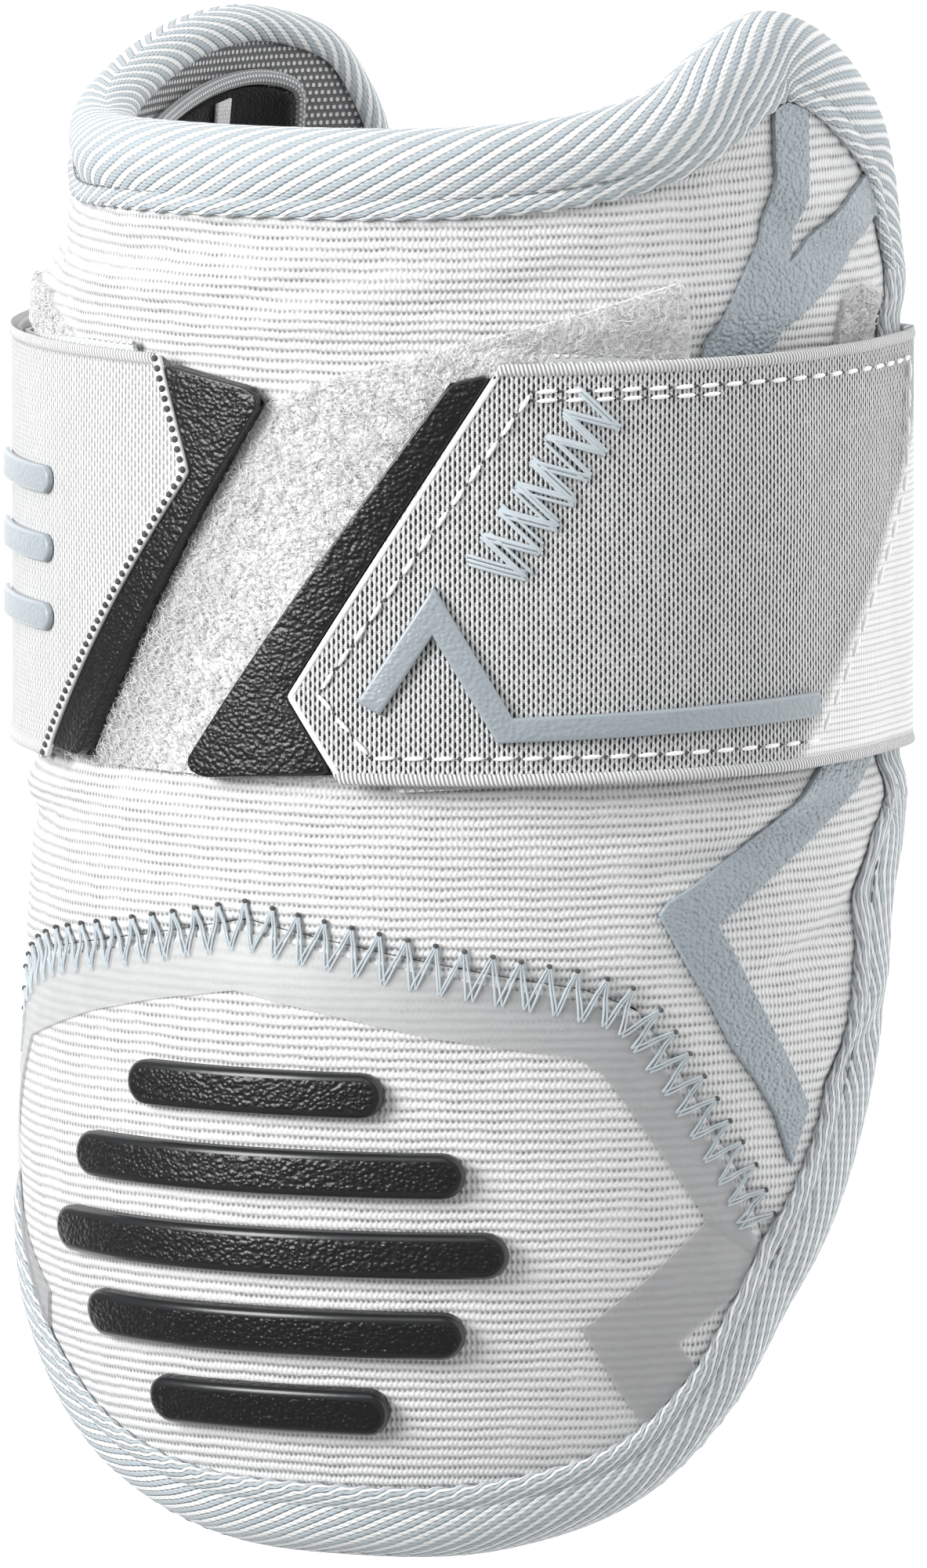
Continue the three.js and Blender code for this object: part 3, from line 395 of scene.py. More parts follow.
def stitches(name, lines, where, lift, length=3.4, pitch=4.1, width=0.5, slant=0.0, first=0.5):
    placed = [along_line(line, pitch, first) for line in lines]
    points, heading = (np.concatenate(x) for x in zip(*placed))
    turned = np.stack([heading[:, 0] - slant * heading[:, 1],
                       heading[:, 1] + slant * heading[:, 0]], 1)
    middle = where(points[:, 0], points[:, 1], lift)
    front = where(points[:, 0] + turned[:, 0], points[:, 1] + turned[:, 1], lift)
    above = where(points[:, 0], points[:, 1], lift + 1)
    xs = front - middle
    xs /= np.linalg.norm(xs, axis=1)[:, None]
    zs = above - middle
    ys = np.cross(zs, xs)
    return copies(name, bead_template(), middle, xs * length / 2, ys * width / 2, zs * width / 2)


def tubes(name, spines, radius, sides=6):
    """Round strands: spines is strands x points x 3, radius the same without the last axis."""
    count, rings = spines.shape[:2]
    form = bmesh.new()
    bmesh.ops.create_grid(form, x_segments=sides, y_segments=rings - 1, size=1)
    template = mesh_of(form, name + "_strand")
    share = (coordinates(template) + 1) / 2
    i = np.rint(share[:, 0] * sides).astype(int)
    j = np.rint(share[:, 1] * (rings - 1)).astype(int)
    run = np.gradient(spines, axis=1)
    bow = spines[:, rings // 2] - (spines[:, 0] + spines[:, -1]) / 2 + 1e-4
    side = np.cross(run, bow[:, None])
    side /= np.linalg.norm(side, axis=2, keepdims=True) + 1e-12
    up = np.cross(side, run)
    up /= np.linalg.norm(up, axis=2, keepdims=True) + 1e-12
    turn = np.linspace(0, 2 * math.pi, sides + 1)
    ring = (side[:, :, None] * np.cos(turn)[:, None] + up[:, :, None] * np.sin(turn)[:, None])
    points = spines[:, :, None] + ring * radius[:, :, None, None]
    return repeated(name, template, points[:, j, i])


# %% [markdown]
# ## Colours and nodes
# Colours are written as the sRGB hex that a paint program shows, and one function turns them into
# the linear numbers that Blender works in. One more function adds a node, sets it and links it.

# %% Colour and node helpers
def colour(hex_value):
    parts = [int(hex_value[k:k + 2], 16) / 255 for k in (1, 3, 5)]
    return [*(c / 12.92 if c <= 0.04045 else ((c + 0.055) / 1.055) ** 2.4 for c in parts), 1]


def add(tree, kind, *feeds, out=0, **more):
    """Adds a node: feeds fill its open sockets in order, or by Name; lower-case words set it."""
    is_maths = kind.isupper()
    made = tree.nodes.new("ShaderNode" + ("Math" if is_maths else kind))
    if is_maths:
        made.operation = kind
    for name, value in more.items():
        if name[0].islower():
            setattr(made, name, value)
    filled = list(zip([socket for socket in made.inputs if socket.enabled], feeds))
    filled += [(made.inputs[name.replace("_", " ")], value)
               for name, value in more.items() if name[0].isupper()]
    for socket, feed in filled:
        if isinstance(feed, bpy.types.NodeSocket):
            tree.links.new(feed, socket)
        else:
            socket.default_value = feed
    return [socket for socket in made.outputs if socket.enabled][out]


def new_finish(name, **sockets):
    finish = bpy.data.materials.new(name)
    finish.use_nodes = True
    shader = finish.node_tree.nodes["Principled BSDF"]
    for socket, value in sockets.items():
        shader.inputs[socket.replace("_", " ")].default_value = value
    return finish, finish.node_tree, shader


def pattern_axes(tree):
    mapped = add(tree, "UVMap", uv_map="pattern")
    return [add(tree, "SeparateXYZ", mapped, out=axis) for axis in (0, 1)]


def wave(tree, value, period=1.0, shift=0.0):
    turns = add(tree, "MULTIPLY_ADD", value, 2 * math.pi / period, shift)
    return add(tree, "MULTIPLY_ADD", add(tree, "COSINE", turns), 0.5, 0.5)


def finish_with(tree, shader, paint=None, height=None, depth_mm=0.2, rough=None):
    if paint is not None:
        tree.links.new(paint, shader.inputs["Base Color"])
    if rough is not None:
        tree.links.new(rough, shader.inputs["Roughness"])
    if height is not None:
        bump = add(tree, "Bump", Strength=1.0, Distance=depth_mm / 1000, Height=height)
        tree.links.new(bump, shader.inputs["Normal"])


def grain(tree, size_mm, detail=2.0, kind="Noise", out=0, stretch=(1, 1, 1), **more):
    where = add(tree, "TexCoord", out=3)
    where = add(tree, "Mapping", Vector=where, Scale=[1000 / size_mm / s for s in stretch])
    if kind == "Noise":
        return add(tree, "TexNoise", Vector=where, Scale=1.0, Detail=detail, out=out)
    return add(tree, "TexVoronoi", Vector=where, Scale=1.0, out=out, **more)


# %% [markdown]
# ## The rib knit
# A polyester rib knit, circular knitted in white over foam. Ribs 1.5 mm apart run across the
# guard. Between them the yarn dives in, which leaves rows of small dark holes 0.8 mm apart, and on
# each rib the loops lean to and fro. The UV map counts ribs and stitches, so the ribs may spread a
# little where the collar's flap is stretched.

# %% Rib knit
def rib_knit():
    finish, tree, shader = new_finish("polyester_rib_knit", Roughness=0.92, Sheen_Weight=0.25,
                                      Sheen_Roughness=0.5, Specular_IOR_Level=0.3)
    across, ribs = pattern_axes(tree)
    # The ribs and stitches wander a little, as hand-fed knit does
    patchy = grain(tree, 9, 3)
    uneven = grain(tree, 1.7, 2)
    ribs = add(tree, "MULTIPLY_ADD", uneven, 0.22, add(tree, "MULTIPLY_ADD", patchy, 0.5, ribs))
    across = add(tree, "MULTIPLY_ADD", uneven, 0.5, across)
    valley = wave(tree, ribs)
    lean = add(tree, "MULTIPLY_ADD", add(tree, "PINGPONG", ribs, 0.5), 0.8, across)
    loops = wave(tree, lean)
    gap = add(tree, "POWER", valley, 2.6)
    strength = add(tree, "MapRange", grain(tree, 4.5, 2), 0.3, 0.7, 0.35, 1.0)
    hole = add(tree, "MULTIPLY", add(tree, "POWER", valley, 5.0),
               add(tree, "POWER", wave(tree, across), 1.3))
    hole = add(tree, "MULTIPLY", hole, strength)
    fuzz = grain(tree, 0.3, 2)
    light = add(tree, "MixRGB", patchy, colour("#ededed"), colour("#dfe0e0"))
    # The low parts between the leaning loops and the rib valleys are painted darker: painted shade
    light = add(tree, "MixRGB", add(tree, "MULTIPLY", loops, 0.2), light, colour("#a3a4a5"))
    shaded = add(tree, "MixRGB", add(tree, "MULTIPLY", gap, 0.2), light, colour("#8b8c8e"))
    paint = add(tree, "MixRGB", add(tree, "MULTIPLY", hole, 0.75), shaded, colour("#1e1f20"))
    crest = add(tree, "SUBTRACT", 1.0, add(tree, "POWER", valley, 1.4))
    height = add(tree, "MULTIPLY_ADD", loops, -0.35, crest)
    height = add(tree, "MULTIPLY_ADD", hole, -0.5, height)
    height = add(tree, "MULTIPLY_ADD", fuzz, 0.4, height)
    finish_with(tree, shader, paint, height, 0.25)
    return finish


# %% [markdown]
# ## The striped tape
# A polyester twill tape, woven white and grey-blue in diagonal stripes under 2 mm apart. Each
# stripe is a row of fat yarns, with a thin dark line where two rows meet. The tape is folded over
# the edge, so on its inner side the stripes lean the other way and the two sides meet in a V.
# The UV map's first number counts stripes, and its second is the distance from the fold, in
# millimetres. A dark-stitched line holds the outer flap 3 mm from its cut edge.

# %% Striped tape
def striped_tape():
    finish, tree, shader = new_finish("polyester_twill_tape", Roughness=0.85, Sheen_Weight=0.2,
                                      Specular_IOR_Level=0.3)
    phase, from_fold = pattern_axes(tree)
    side = add(tree, "ABSOLUTE", from_fold)
    under = add(tree, "GREATER_THAN", from_fold, TAPE_STITCH_LINE)
    bend = add(tree, "MULTIPLY", under, add(tree, "MULTIPLY_ADD", side, 0.2, -0.2 * TAPE_STITCH_LINE))
    wander = add(tree, "MULTIPLY_ADD", grain(tree, 14, 2), 0.5, -0.25)
    stripes = add(tree, "ADD", add(tree, "ADD", phase, bend), wander)
    band = wave(tree, stripes)
    blue = add(tree, "MapRange", band, 0.5, 0.7, interpolation_type="SMOOTHSTEP")
    steps = add(tree, "MULTIPLY_ADD", side, 2.0, add(tree, "MULTIPLY", phase, -0.6))
    yarn = wave(tree, steps)
    border = add(tree, "POWER", wave(tree, stripes, 0.5, math.pi), 5.0)
    nick = add(tree, "MULTIPLY", border, add(tree, "MULTIPLY_ADD", yarn, 0.6, 0.35))
    fade = grain(tree, 5, 3)
    white = add(tree, "MixRGB", fade, colour("#f6f7f7"), colour("#eaecec"))
    tint = add(tree, "MixRGB", fade, colour("#bcc5ca"), colour("#aab5bb"))
    paint = add(tree, "MixRGB", blue, white, tint)
    paint = add(tree, "MixRGB", add(tree, "MULTIPLY", yarn, 0.24), paint, colour("#87929a"))
    paint = add(tree, "MixRGB", add(tree, "MULTIPLY", nick, 0.5), paint, colour("#6e777d"))
    height = add(tree, "MULTIPLY_ADD", border, -0.8, add(tree, "MULTIPLY", yarn, -0.3))
    height = add(tree, "MULTIPLY_ADD", grain(tree, 0.4, 2), 0.25, height)
    finish_with(tree, shader, paint, height, 0.25)
    return finish


# %% [markdown]
# ## Woven mesh, lining, pile and elastic
# - The facing is a white polyester mesh whose raised knots shine in rows over dark gaps.
# - The inner pad is covered in black brushed tricot, matt with a soft sheen.
# - The loop panels are white nylon loop pile: a matt felt of fine hairs, with real curls on top.
# - The strap is a white woven elastic. Its warp stands in columns 0.7 mm apart with dark nicks
#   between them, and past the sewn patch it turns to fine ribs across. Its two long edges are
#   overcast with white thread in a roll 1.7 mm wide.

# %% Textile finishes
def woven_mesh(name, pitch, light, dark):
    finish, tree, shader = new_finish(name, Roughness=0.85, Specular_IOR_Level=0.35)
    across, along = pattern_axes(tree)
    rows = wave(tree, along, pitch)
    brick = add(tree, "FLOOR", add(tree, "DIVIDE", along, pitch))
    shifted = add(tree, "MULTIPLY_ADD", brick, pitch / 2, across)
    knots = add(tree, "MULTIPLY", add(tree, "SUBTRACT", 1.0, rows), wave(tree, shifted, pitch))
    knots = add(tree, "MapRange", knots, 0.12, 0.5, interpolation_type="SMOOTHSTEP")
    paint = add(tree, "MixRGB", knots, colour(dark), colour(light))
    height = add(tree, "MULTIPLY_ADD", grain(tree, 0.3, 2), 0.2, knots)
    finish_with(tree, shader, paint, height, 0.3)
    return finish


def brushed_lining():
    finish, tree, shader = new_finish("black_brushed_tricot", Roughness=0.95, Sheen_Weight=0.18,
                                      Sheen_Roughness=0.4, Specular_IOR_Level=0.2)
    paint = add(tree, "MixRGB", grain(tree, 3, 4), colour("#0e0f10"), colour("#1f2022"))
    finish_with(tree, shader, paint, grain(tree, 0.5, 3), 0.4)
    return finish


def pile_felt():
    finish, tree, shader = new_finish("nylon_loop_pile_ground", Roughness=0.95, Sheen_Weight=0.4,
                                      Specular_IOR_Level=0.2)
    hairs = grain(tree, 0.55, 3, out=0)
    clumps = grain(tree, 3.5, 3)
    share = add(tree, "MapRange", hairs, 0.36, 0.6, interpolation_type="SMOOTHSTEP")
    paint = add(tree, "MixRGB", share, colour("#d0d1d1"), colour("#f8f8f8"))
    paint = add(tree, "MixRGB", add(tree, "MULTIPLY", clumps, 0.45), paint, colour("#e6e6e6"))
    # The pile is painted greyer beside the left tab, most at its lower half: a painted shadow of the tab
    across, along = pattern_axes(tree)
    from_tab = add(tree, "MULTIPLY_ADD", along, -TAB_SLOPE, across)
    painted_tab_shadow = add(tree, "MapRange", from_tab, TAB_EDGE, TAB_EDGE + 17, 0.75, 0.0,
                  interpolation_type="SMOOTHSTEP")
    painted_tab_shadow = add(tree, "MULTIPLY", painted_tab_shadow, add(tree, "MapRange", along, 24, -14, 0.15, 1.0))
    paint = add(tree, "MixRGB", painted_tab_shadow, paint, colour("#8f9091"))
    height = add(tree, "MULTIPLY_ADD", clumps, 0.8, hairs)
    finish_with(tree, shader, paint, height, 0.7)
    return finish


def plain_thread(name, hex_value, rough=0.6):
    finish, tree, shader = new_finish(name, Roughness=rough, Sheen_Weight=0.2)
    pale = add(tree, "MixRGB", grain(tree, 1.2, 2), colour(hex_value), colour("#ffffff"))
    paint = add(tree, "MixRGB", 0.85, pale, colour(hex_value))
    finish_with(tree, shader, paint, grain(tree, 0.18, 1), 0.06)
    return finish


def woven_elastic():
    finish, tree, shader = new_finish("woven_polyester_elastic", Roughness=0.85,
                                      Sheen_Weight=0.15, Specular_IOR_Level=0.3)
    along, across = pattern_axes(tree)
    # Columns of warp, and the nicks between them, each column's set half a step off its neighbour's
    columns = wave(tree, along, ELASTIC_COLUMN)
    between = add(tree, "FLOOR", add(tree, "MULTIPLY_ADD", along, 1 / ELASTIC_COLUMN, 0.5))
    stagger = add(tree, "MULTIPLY_ADD", between, ELASTIC_NICK / 2, across)
    nick = add(tree, "MULTIPLY", add(tree, "POWER", columns, 2.0),
               add(tree, "POWER", wave(tree, stagger, ELASTIC_NICK), 0.8))
    uneven = add(tree, "MapRange", grain(tree, 1.3, 3), 0.3, 0.7, 0.5, 1.3)
    nick = add(tree, "MULTIPLY", nick, uneven)
    nick = add(tree, "MapRange", nick, 0.1, 0.42, interpolation_type="SMOOTHSTEP")
    line = add(tree, "MULTIPLY", add(tree, "POWER", columns, 2.2), 0.45)
    nick = add(tree, "MAXIMUM", nick, line)
    rows = add(tree, "POWER", wave(tree, stagger, ELASTIC_NICK / 2), 2.5)
    nick = add(tree, "MAXIMUM", nick, add(tree, "MULTIPLY", rows, 0.3))
    weft = wave(tree, across, ELASTIC_NICK / 2)
    # Past the patch line: ribs across, whose gaps are painted faintly darker as painted shade
    ribs = wave(tree, across, ELASTIC_RIB)
    rib_groove_shade = add(tree, "MULTIPLY", add(tree, "POWER", ribs, 3.0),
                    add(tree, "MULTIPLY_ADD", wave(tree, along, 0.7), 0.7, 0.3))
    past = add(tree, "MULTIPLY_ADD", across, -PATCH_SLOPE, along)
    plain = add(tree, "MapRange", past, PATCH_AT - 2, PATCH_AT + 2)
    # The fine ribs run on under the guard, and turn back into columns up its left side
    left = add(tree, "MapRange", along, 60, 110, interpolation_type="SMOOTHSTEP")
    plain = add(tree, "MULTIPLY", plain, add(tree, "SUBTRACT", 1.0, left))
    # The overcast roll along both edges
    rim = add(tree, "GREATER_THAN", add(tree, "ABSOLUTE", across), STRAP_HALF - 1.75)
    overcast = wave(tree, add(tree, "MULTIPLY_ADD", across, 0.25, along), 0.62)
    # Up the left side the nicks are painted at half strength, so that side reads lighter: painted light
    # where the key light falls
    nick = add(tree, "MULTIPLY", nick, add(tree, "MULTIPLY_ADD", left, -0.5, 1.0))
    gaps = add(tree, "Mix", plain, nick, add(tree, "MULTIPLY", rib_groove_shade, 0.35))
    cloth = add(tree, "MixRGB", grain(tree, 6, 3), colour("#eeeeee"), colour("#e3e4e4"))
    cloth = add(tree, "MixRGB", plain, cloth, colour("#f3f3f3"))
    # The grooves between the warp columns are painted darker, much less past the patch line: painted
    # shade
    painted_column_shade = add(tree, "MULTIPLY", columns, add(tree, "MULTIPLY_ADD", plain, -0.25, 0.3))
    cloth = add(tree, "MixRGB", painted_column_shade, cloth, colour("#97989a"))
    cloth = add(tree, "MixRGB", gaps, cloth, colour("#1c1d1f"))
    roll = add(tree, "MixRGB", add(tree, "MULTIPLY", add(tree, "POWER", overcast, 3.0), 0.85),
                 colour("#f8f8f8"), colour("#6a6c6e"))
    paint = add(tree, "MixRGB", rim, cloth, roll)
    woven = add(tree, "MULTIPLY_ADD", weft, 0.25, add(tree, "MULTIPLY", gaps, -1.0))
    woven = add(tree, "MULTIPLY_ADD", columns, -0.4, woven)
    height = add(tree, "Mix", rim, woven, add(tree, "MULTIPLY", overcast, -1.2))
    finish_with(tree, shader, paint, height, 0.25)
    return finish


# %% [markdown]
# ## Moulded rubber and film
# The tabs and bars are injection-moulded thermoplastic rubber. Their faces have an etched pebble
# grain with cells under 1 mm, whose peaks are painted paler as painted glints, and their bevelled
# edges came off a polished part of the mould, so they are smooth and glossier, and painted a shade
# lighter as a painted highlight. The stripes are a grey film, hot pressed with a leather grain
# whose peaks are painted as small white painted glints. The seam is bonded under clear film.

# %% Rubber and film finishes
def moulded_rubber(name, dark, pale, cell, rough, depth=0.16, smooth=False):
    finish, tree, shader = new_finish(name, Roughness=rough, IOR=1.5, Specular_IOR_Level=0.5)
    if smooth:
        finish_with(tree, shader, add(tree, "MixRGB", grain(tree, 6, 3), colour(dark), colour(pale)),
                    grain(tree, 1.5, 2), 0.02)
        return finish
    cells = grain(tree, cell, kind="Voronoi", feature="SMOOTH_F1", stretch=(1.1, 0.9, 1.1))
    ridges = grain(tree, cell * 1.6, 2)
    height = add(tree, "MULTIPLY_ADD", ridges, 0.7, add(tree, "MULTIPLY", cells, -1.3))
    # The grain's peaks are painted paler: painted glints
    top = add(tree, "MapRange", height, 0.24, 0.44)
    paint = add(tree, "MixRGB", top, colour(dark), colour(pale))
    finish_with(tree, shader, paint, height, depth)
    return finish


def clear_film(name, dark, pale, alpha, right_shade=0.0):
    finish, tree, shader = new_finish(name, Roughness=0.46, IOR=1.45, Alpha=alpha)
    paint = add(tree, "MixRGB", grain(tree, 4, 3), colour(dark), colour(pale))
    # The band is painted greyer on the guard's right: painted shade
    across = pattern_axes(tree)[0]
    painted_right_shade = add(tree, "MapRange", across, 20, 66, 0.0, right_shade, interpolation_type="SMOOTHSTEP")
    paint = add(tree, "MixRGB", painted_right_shade, paint, colour("#a2a4a6"))
    finish_with(tree, shader, paint, grain(tree, 1.2, 2), 0.05)
    return finish


# %% Sizes of the weaves, in millimetres
TAPE_STITCH_LINE = 14.1
ELASTIC_COLUMN = 0.7
ELASTIC_NICK = 1.4
ELASTIC_RIB = 0.95
PATCH_SLOPE = 0.55
PATCH_AT = 0.0


# %% [markdown]
# ## Relief of the padded wall
# The foam wall isn't a plain tube. It swells out above and below the strap that squeezes it, dips
# to the zigzag seam, rises beside the folded tape, and creases where the sleeve was bent. Everything
# that lies on the knit outside the strap rides on the same relief, so nothing sinks or floats.

# %% Seam line and relief
SEAM = np.array([
    (-0.544, -0.775), (-0.482, -0.675), (-0.42, -0.567), (-0.381, -0.509), (-0.334, -0.45),
    (-0.272, -0.419), (-0.21, -0.401), (-0.039, -0.372), (0.086, -0.349), (0.194, -0.369),
    (0.358, -0.4), (0.443, -0.415), (0.498, -0.436), (0.552, -0.509), (0.591, -0.567),
    (0.622, -0.609), (0.655, -0.675), (0.708, -0.789),
])
seam_line = on_guard(SEAM)
# Creases: middle (u, v), heading in degrees, half length, half width and depth, in millimetres
CREASES = [
    (-58, 45, -16, 26, 2.2, 1.3), (-40, 38, -9, 24, 1.8, 1.2), (-16, 43, 5, 28, 2.0, 1.0),
    (-76, 52, -24, 20, 2.4, 1.2), (6, 37, 9, 22, 1.6, 0.9), (-84, 40, -12, 14, 1.8, 1.1),
    (-70, -37, 12, 22, 2.0, 1.2), (-44, -41, 5, 26, 1.8, 1.0), (-90, -46, 24, 14, 2.2, 1.2),
    (60, -38, -4, 24, 2.0, 1.1), (92, -41, 14, 20, 2.2, 1.3), (106, -55, 26, 16, 2.4, 1.2),
    (78, 55, 6, 16, 2.0, 0.7), (104, 46, -14, 14, 2.2, 0.9), (112, -72, 40, 12, 2.0, 1.0),
    (20, -37, -3, 26, 1.8, 0.8), (46, 39, 10, 18, 1.8, 0.7), (-30, 52, -6, 22, 2.6, 0.7),
]


def seam_height(u):
    inside = (u >= seam_line[0, 0]) & (u <= seam_line[-1, 0])
    return np.where(inside, np.interp(u, *seam_line.T), -1e6)


def relief(u, v):
    u, v = np.broadcast_arrays(np.asarray(u, float), np.asarray(v, float))
    points = np.stack([u.ravel(), v.ravel()], 1)
    from_seam = distance_to(seam_line, points).reshape(u.shape)
    past_strap = np.abs(v) - STRAP_HALF
    free = soft_step(past_strap, 0.5, 5)
    lift = 1.1 * free * np.exp(-((past_strap - 6) / 5.5) ** 2)
    lift = lift + 0.25 * free * np.sin(u * 0.09 + v * 0.05) * np.sin(v * 0.11 - u * 0.03)
    for middle_u, middle_v, heading, length, width, depth in CREASES:
        c, s = math.cos(math.radians(heading)), math.sin(math.radians(heading))
        along = (u - middle_u) * c + (v - middle_v) * s
        across = (v - middle_v) * c - (u - middle_u) * s - 0.004 * along ** 2
        bulge = 0.55 * np.exp(-((across - 2.4 * width) / (1.5 * width)) ** 2)
        groove = np.exp(-(across / width) ** 2) - bulge
        lift = lift - 1.15 * depth * free * groove * np.exp(-(along / length) ** 4)
    dip = -0.45 * np.exp(-(from_seam / 1.5) ** 2)
    in_cup = v < seam_height(u)
    swell = np.where(in_cup, 1.0 * soft_step(from_seam, 1.0, 9.0), 0.25 * soft_step(from_seam, 0.5, 6.0))
    under_trim = soft_step(-v, 38, 46)
    return lift + (dip + swell) * under_trim


def wrap_on(u, v, w):
    return wrap(u, v, w + relief(u, v))


# %% [markdown]
# ## Knit covers
# Each cover is a grid of columns across the guard, whose rows are held between the column's lowest
# and highest point. Rows that would fall outside are merged into the edge. The wall gets its 5 mm
# of foam from a Solidify modifier. Cloth simulation was left out here, because the wall is stiff
# foam that keeps its form, and its creases are known places that a short table gives better.

# %% Sleeve and cup
def rib_count(u, v):
    # Ribs are 1.46 mm apart, and up to 1.75 mm on the stretched flap at the upper right
    stretched = soft_step(v, 30, 62) * (0.05 + 0.13 * soft_step(u, 40, 120))
    wander = 0.10 * np.sin(u * 0.05 + v * 0.03) + 0.06 * np.sin(u * 0.13 - 1.3)
    return v / 1.46 - stretched * (v - 30) / 1.46 * 0.55 + wander


def guard_rows(step, top=1.05 * COLLAR_RISE, foot=-1.08 * CUP_DROP):
    return np.arange(foot, top, step)


def cloth_grid(columns, low, high, rows):
    v = np.clip(rows[:, None], low, high)
    return np.broadcast_to(columns, v.shape), v


def knit_cover(name, columns, low, high, rows, depth):
    u, v = cloth_grid(columns, low, high, rows)
    points = wrap_on(u, v, np.zeros(v.shape))
    mesh = grid_mesh(name, points, np.stack([u / 0.8, rib_count(u, v)], -1))
    made = piece(name, mesh, [knit_finish], [depth])
    thicken(made, KNIT_WALL)


KNIT_WALL = 4.9
SEAM_GAP = 0.06
knit_finish = rib_knit()
layer_span = span_of(layer_loop)
sleeve_columns = np.linspace(-layer_reach, layer_reach, 150)
lowest_v, highest_v = layer_span(sleeve_columns)
sleeve_low = np.maximum(lowest_v, seam_height(sleeve_columns) + SEAM_GAP)
knit_cover("sleeve_pad_cover", sleeve_columns, sleeve_low, highest_v, guard_rows(1.8), "sleeve_pad")

inside_cup = np.linspace(seam_line[0, 0], seam_line[-1, 0], 400)
inside_cup = inside_cup[seam_height(inside_cup) - 0.35 > layer_span(inside_cup)[0]]
cup_columns = np.linspace(inside_cup[0], inside_cup[-1], 84)
knit_cover("elbow_cup_cover", cup_columns, layer_span(cup_columns)[0],
           seam_height(cup_columns) - SEAM_GAP, guard_rows(1.8, -45, -1.06 * CUP_DROP), "elbow_cup")

# %% [markdown]
# ## Facing, inner pad, piping and tape
# Seen through the collar: a white mesh lines the foam, and inside it lies a thin black pad with a
# white woven piping round its edge and one white tape across it.

# %% Lining pieces
# Lifts of the inner layers from the knit's face: the facing, the piping's middle, the pad, its tape
FACING_LIFT, PIPING_LIFT, PAD_LIFT, PAD_TAPE_LIFT = -5.35, -7.85, -6.7, -9.45
PIPING_HALF = 1.2
PAD_TAPE_HALF = 2.25
facing_finish = woven_mesh("polyester_spacer_mesh", 1.15, "#f2f2f2", "#77787a")
facing_columns = np.linspace(-layer_reach, layer_reach, 90)
u, v = cloth_grid(facing_columns, *layer_span(facing_columns), guard_rows(3.0))
mesh = grid_mesh("mesh_facing_cloth", wrap(u, v, FACING_LIFT), np.stack([u, v], -1))
facing_cloth = piece("mesh_facing_cloth", mesh, [facing_finish], ["mesh_facing"])
thicken(facing_cloth, 0.9)

PIPING_REACH = FORM_RADIUS * math.radians(111)
piping_line = inset(full_edge, 9.6)
piping_line[:, 0] = np.clip(piping_line[:, 0], -PIPING_REACH, PIPING_REACH)
for _ in range(40):
    piping_line = (np.roll(piping_line, 1, 0) + 2 * piping_line + np.roll(piping_line, -1, 0)) / 4
turn = np.linspace(0, 2 * math.pi, 11)
line = np.concatenate([piping_line, piping_line[:1]])
normals = np.concatenate([inward(piping_line), inward(piping_line)[:1]])
run = run_along(line)
shift = PIPING_HALF * np.cos(turn)
u = line[:, None, 0] + normals[:, None, 0] * shift
v = line[:, None, 1] + normals[:, None, 1] * shift
w = PIPING_LIFT + PIPING_HALF * np.sin(turn)
pattern = np.stack(np.broadcast_arrays(run[:, None], turn * PIPING_HALF), -1)
mesh = grid_mesh("pad_piping_tape", wrap(u, v, w), pattern, outwards=True)
piece("pad_piping_tape", mesh, [woven_mesh("woven_piping_tape", 0.8, "#f3f3f3", "#9b9da0")],
      ["pad_piping"])

pad_line = inset(piping_line, 1.5)
pad_span = span_of(pad_line)
columns = np.linspace(pad_line[:, 0].min() + 0.3, pad_line[:, 0].max() - 0.3, 110)
u, v = cloth_grid(columns, *pad_span(columns), guard_rows(2.5))
mesh = grid_mesh("inner_pad_cover", wrap(u, v, PAD_LIFT), np.stack([u, v], -1))
inner = piece("inner_pad_cover", mesh, [brushed_lining()], ["inner_pad"])
thicken(inner, 2.3)

tape_middle = FORM_RADIUS * math.radians(-90)
columns = tape_middle + np.linspace(-PAD_TAPE_HALF, PAD_TAPE_HALF, 9)
low, high = pad_span(columns)
share = np.linspace(0, 1, 60)[:, None]
v = low * 0.6 + (high - 0.3 - low * 0.6) * share
u = np.broadcast_to(columns, v.shape)
ridge = 0.12 * np.cos((u - tape_middle) / PAD_TAPE_HALF * 1.5)
mesh = grid_mesh("pad_tape_cloth", wrap(u, v, PAD_TAPE_LIFT - ridge), np.stack([u, v], -1))
tape_finish = woven_mesh("woven_satin_tape", 0.6, "#fafafa", "#d5d7d9")
tape = piece("pad_tape_cloth", mesh, [tape_finish], ["pad_tape"])
thicken(tape, 0.45)

# %% [markdown]
# ## The folded tape round the edge
# One section, a flattened hook of tape, is carried round the whole edge. It is 1.4 mm thick, bulges
# over the fold, is pulled in along the stitch line, and ends in a thin scalloped cut edge.

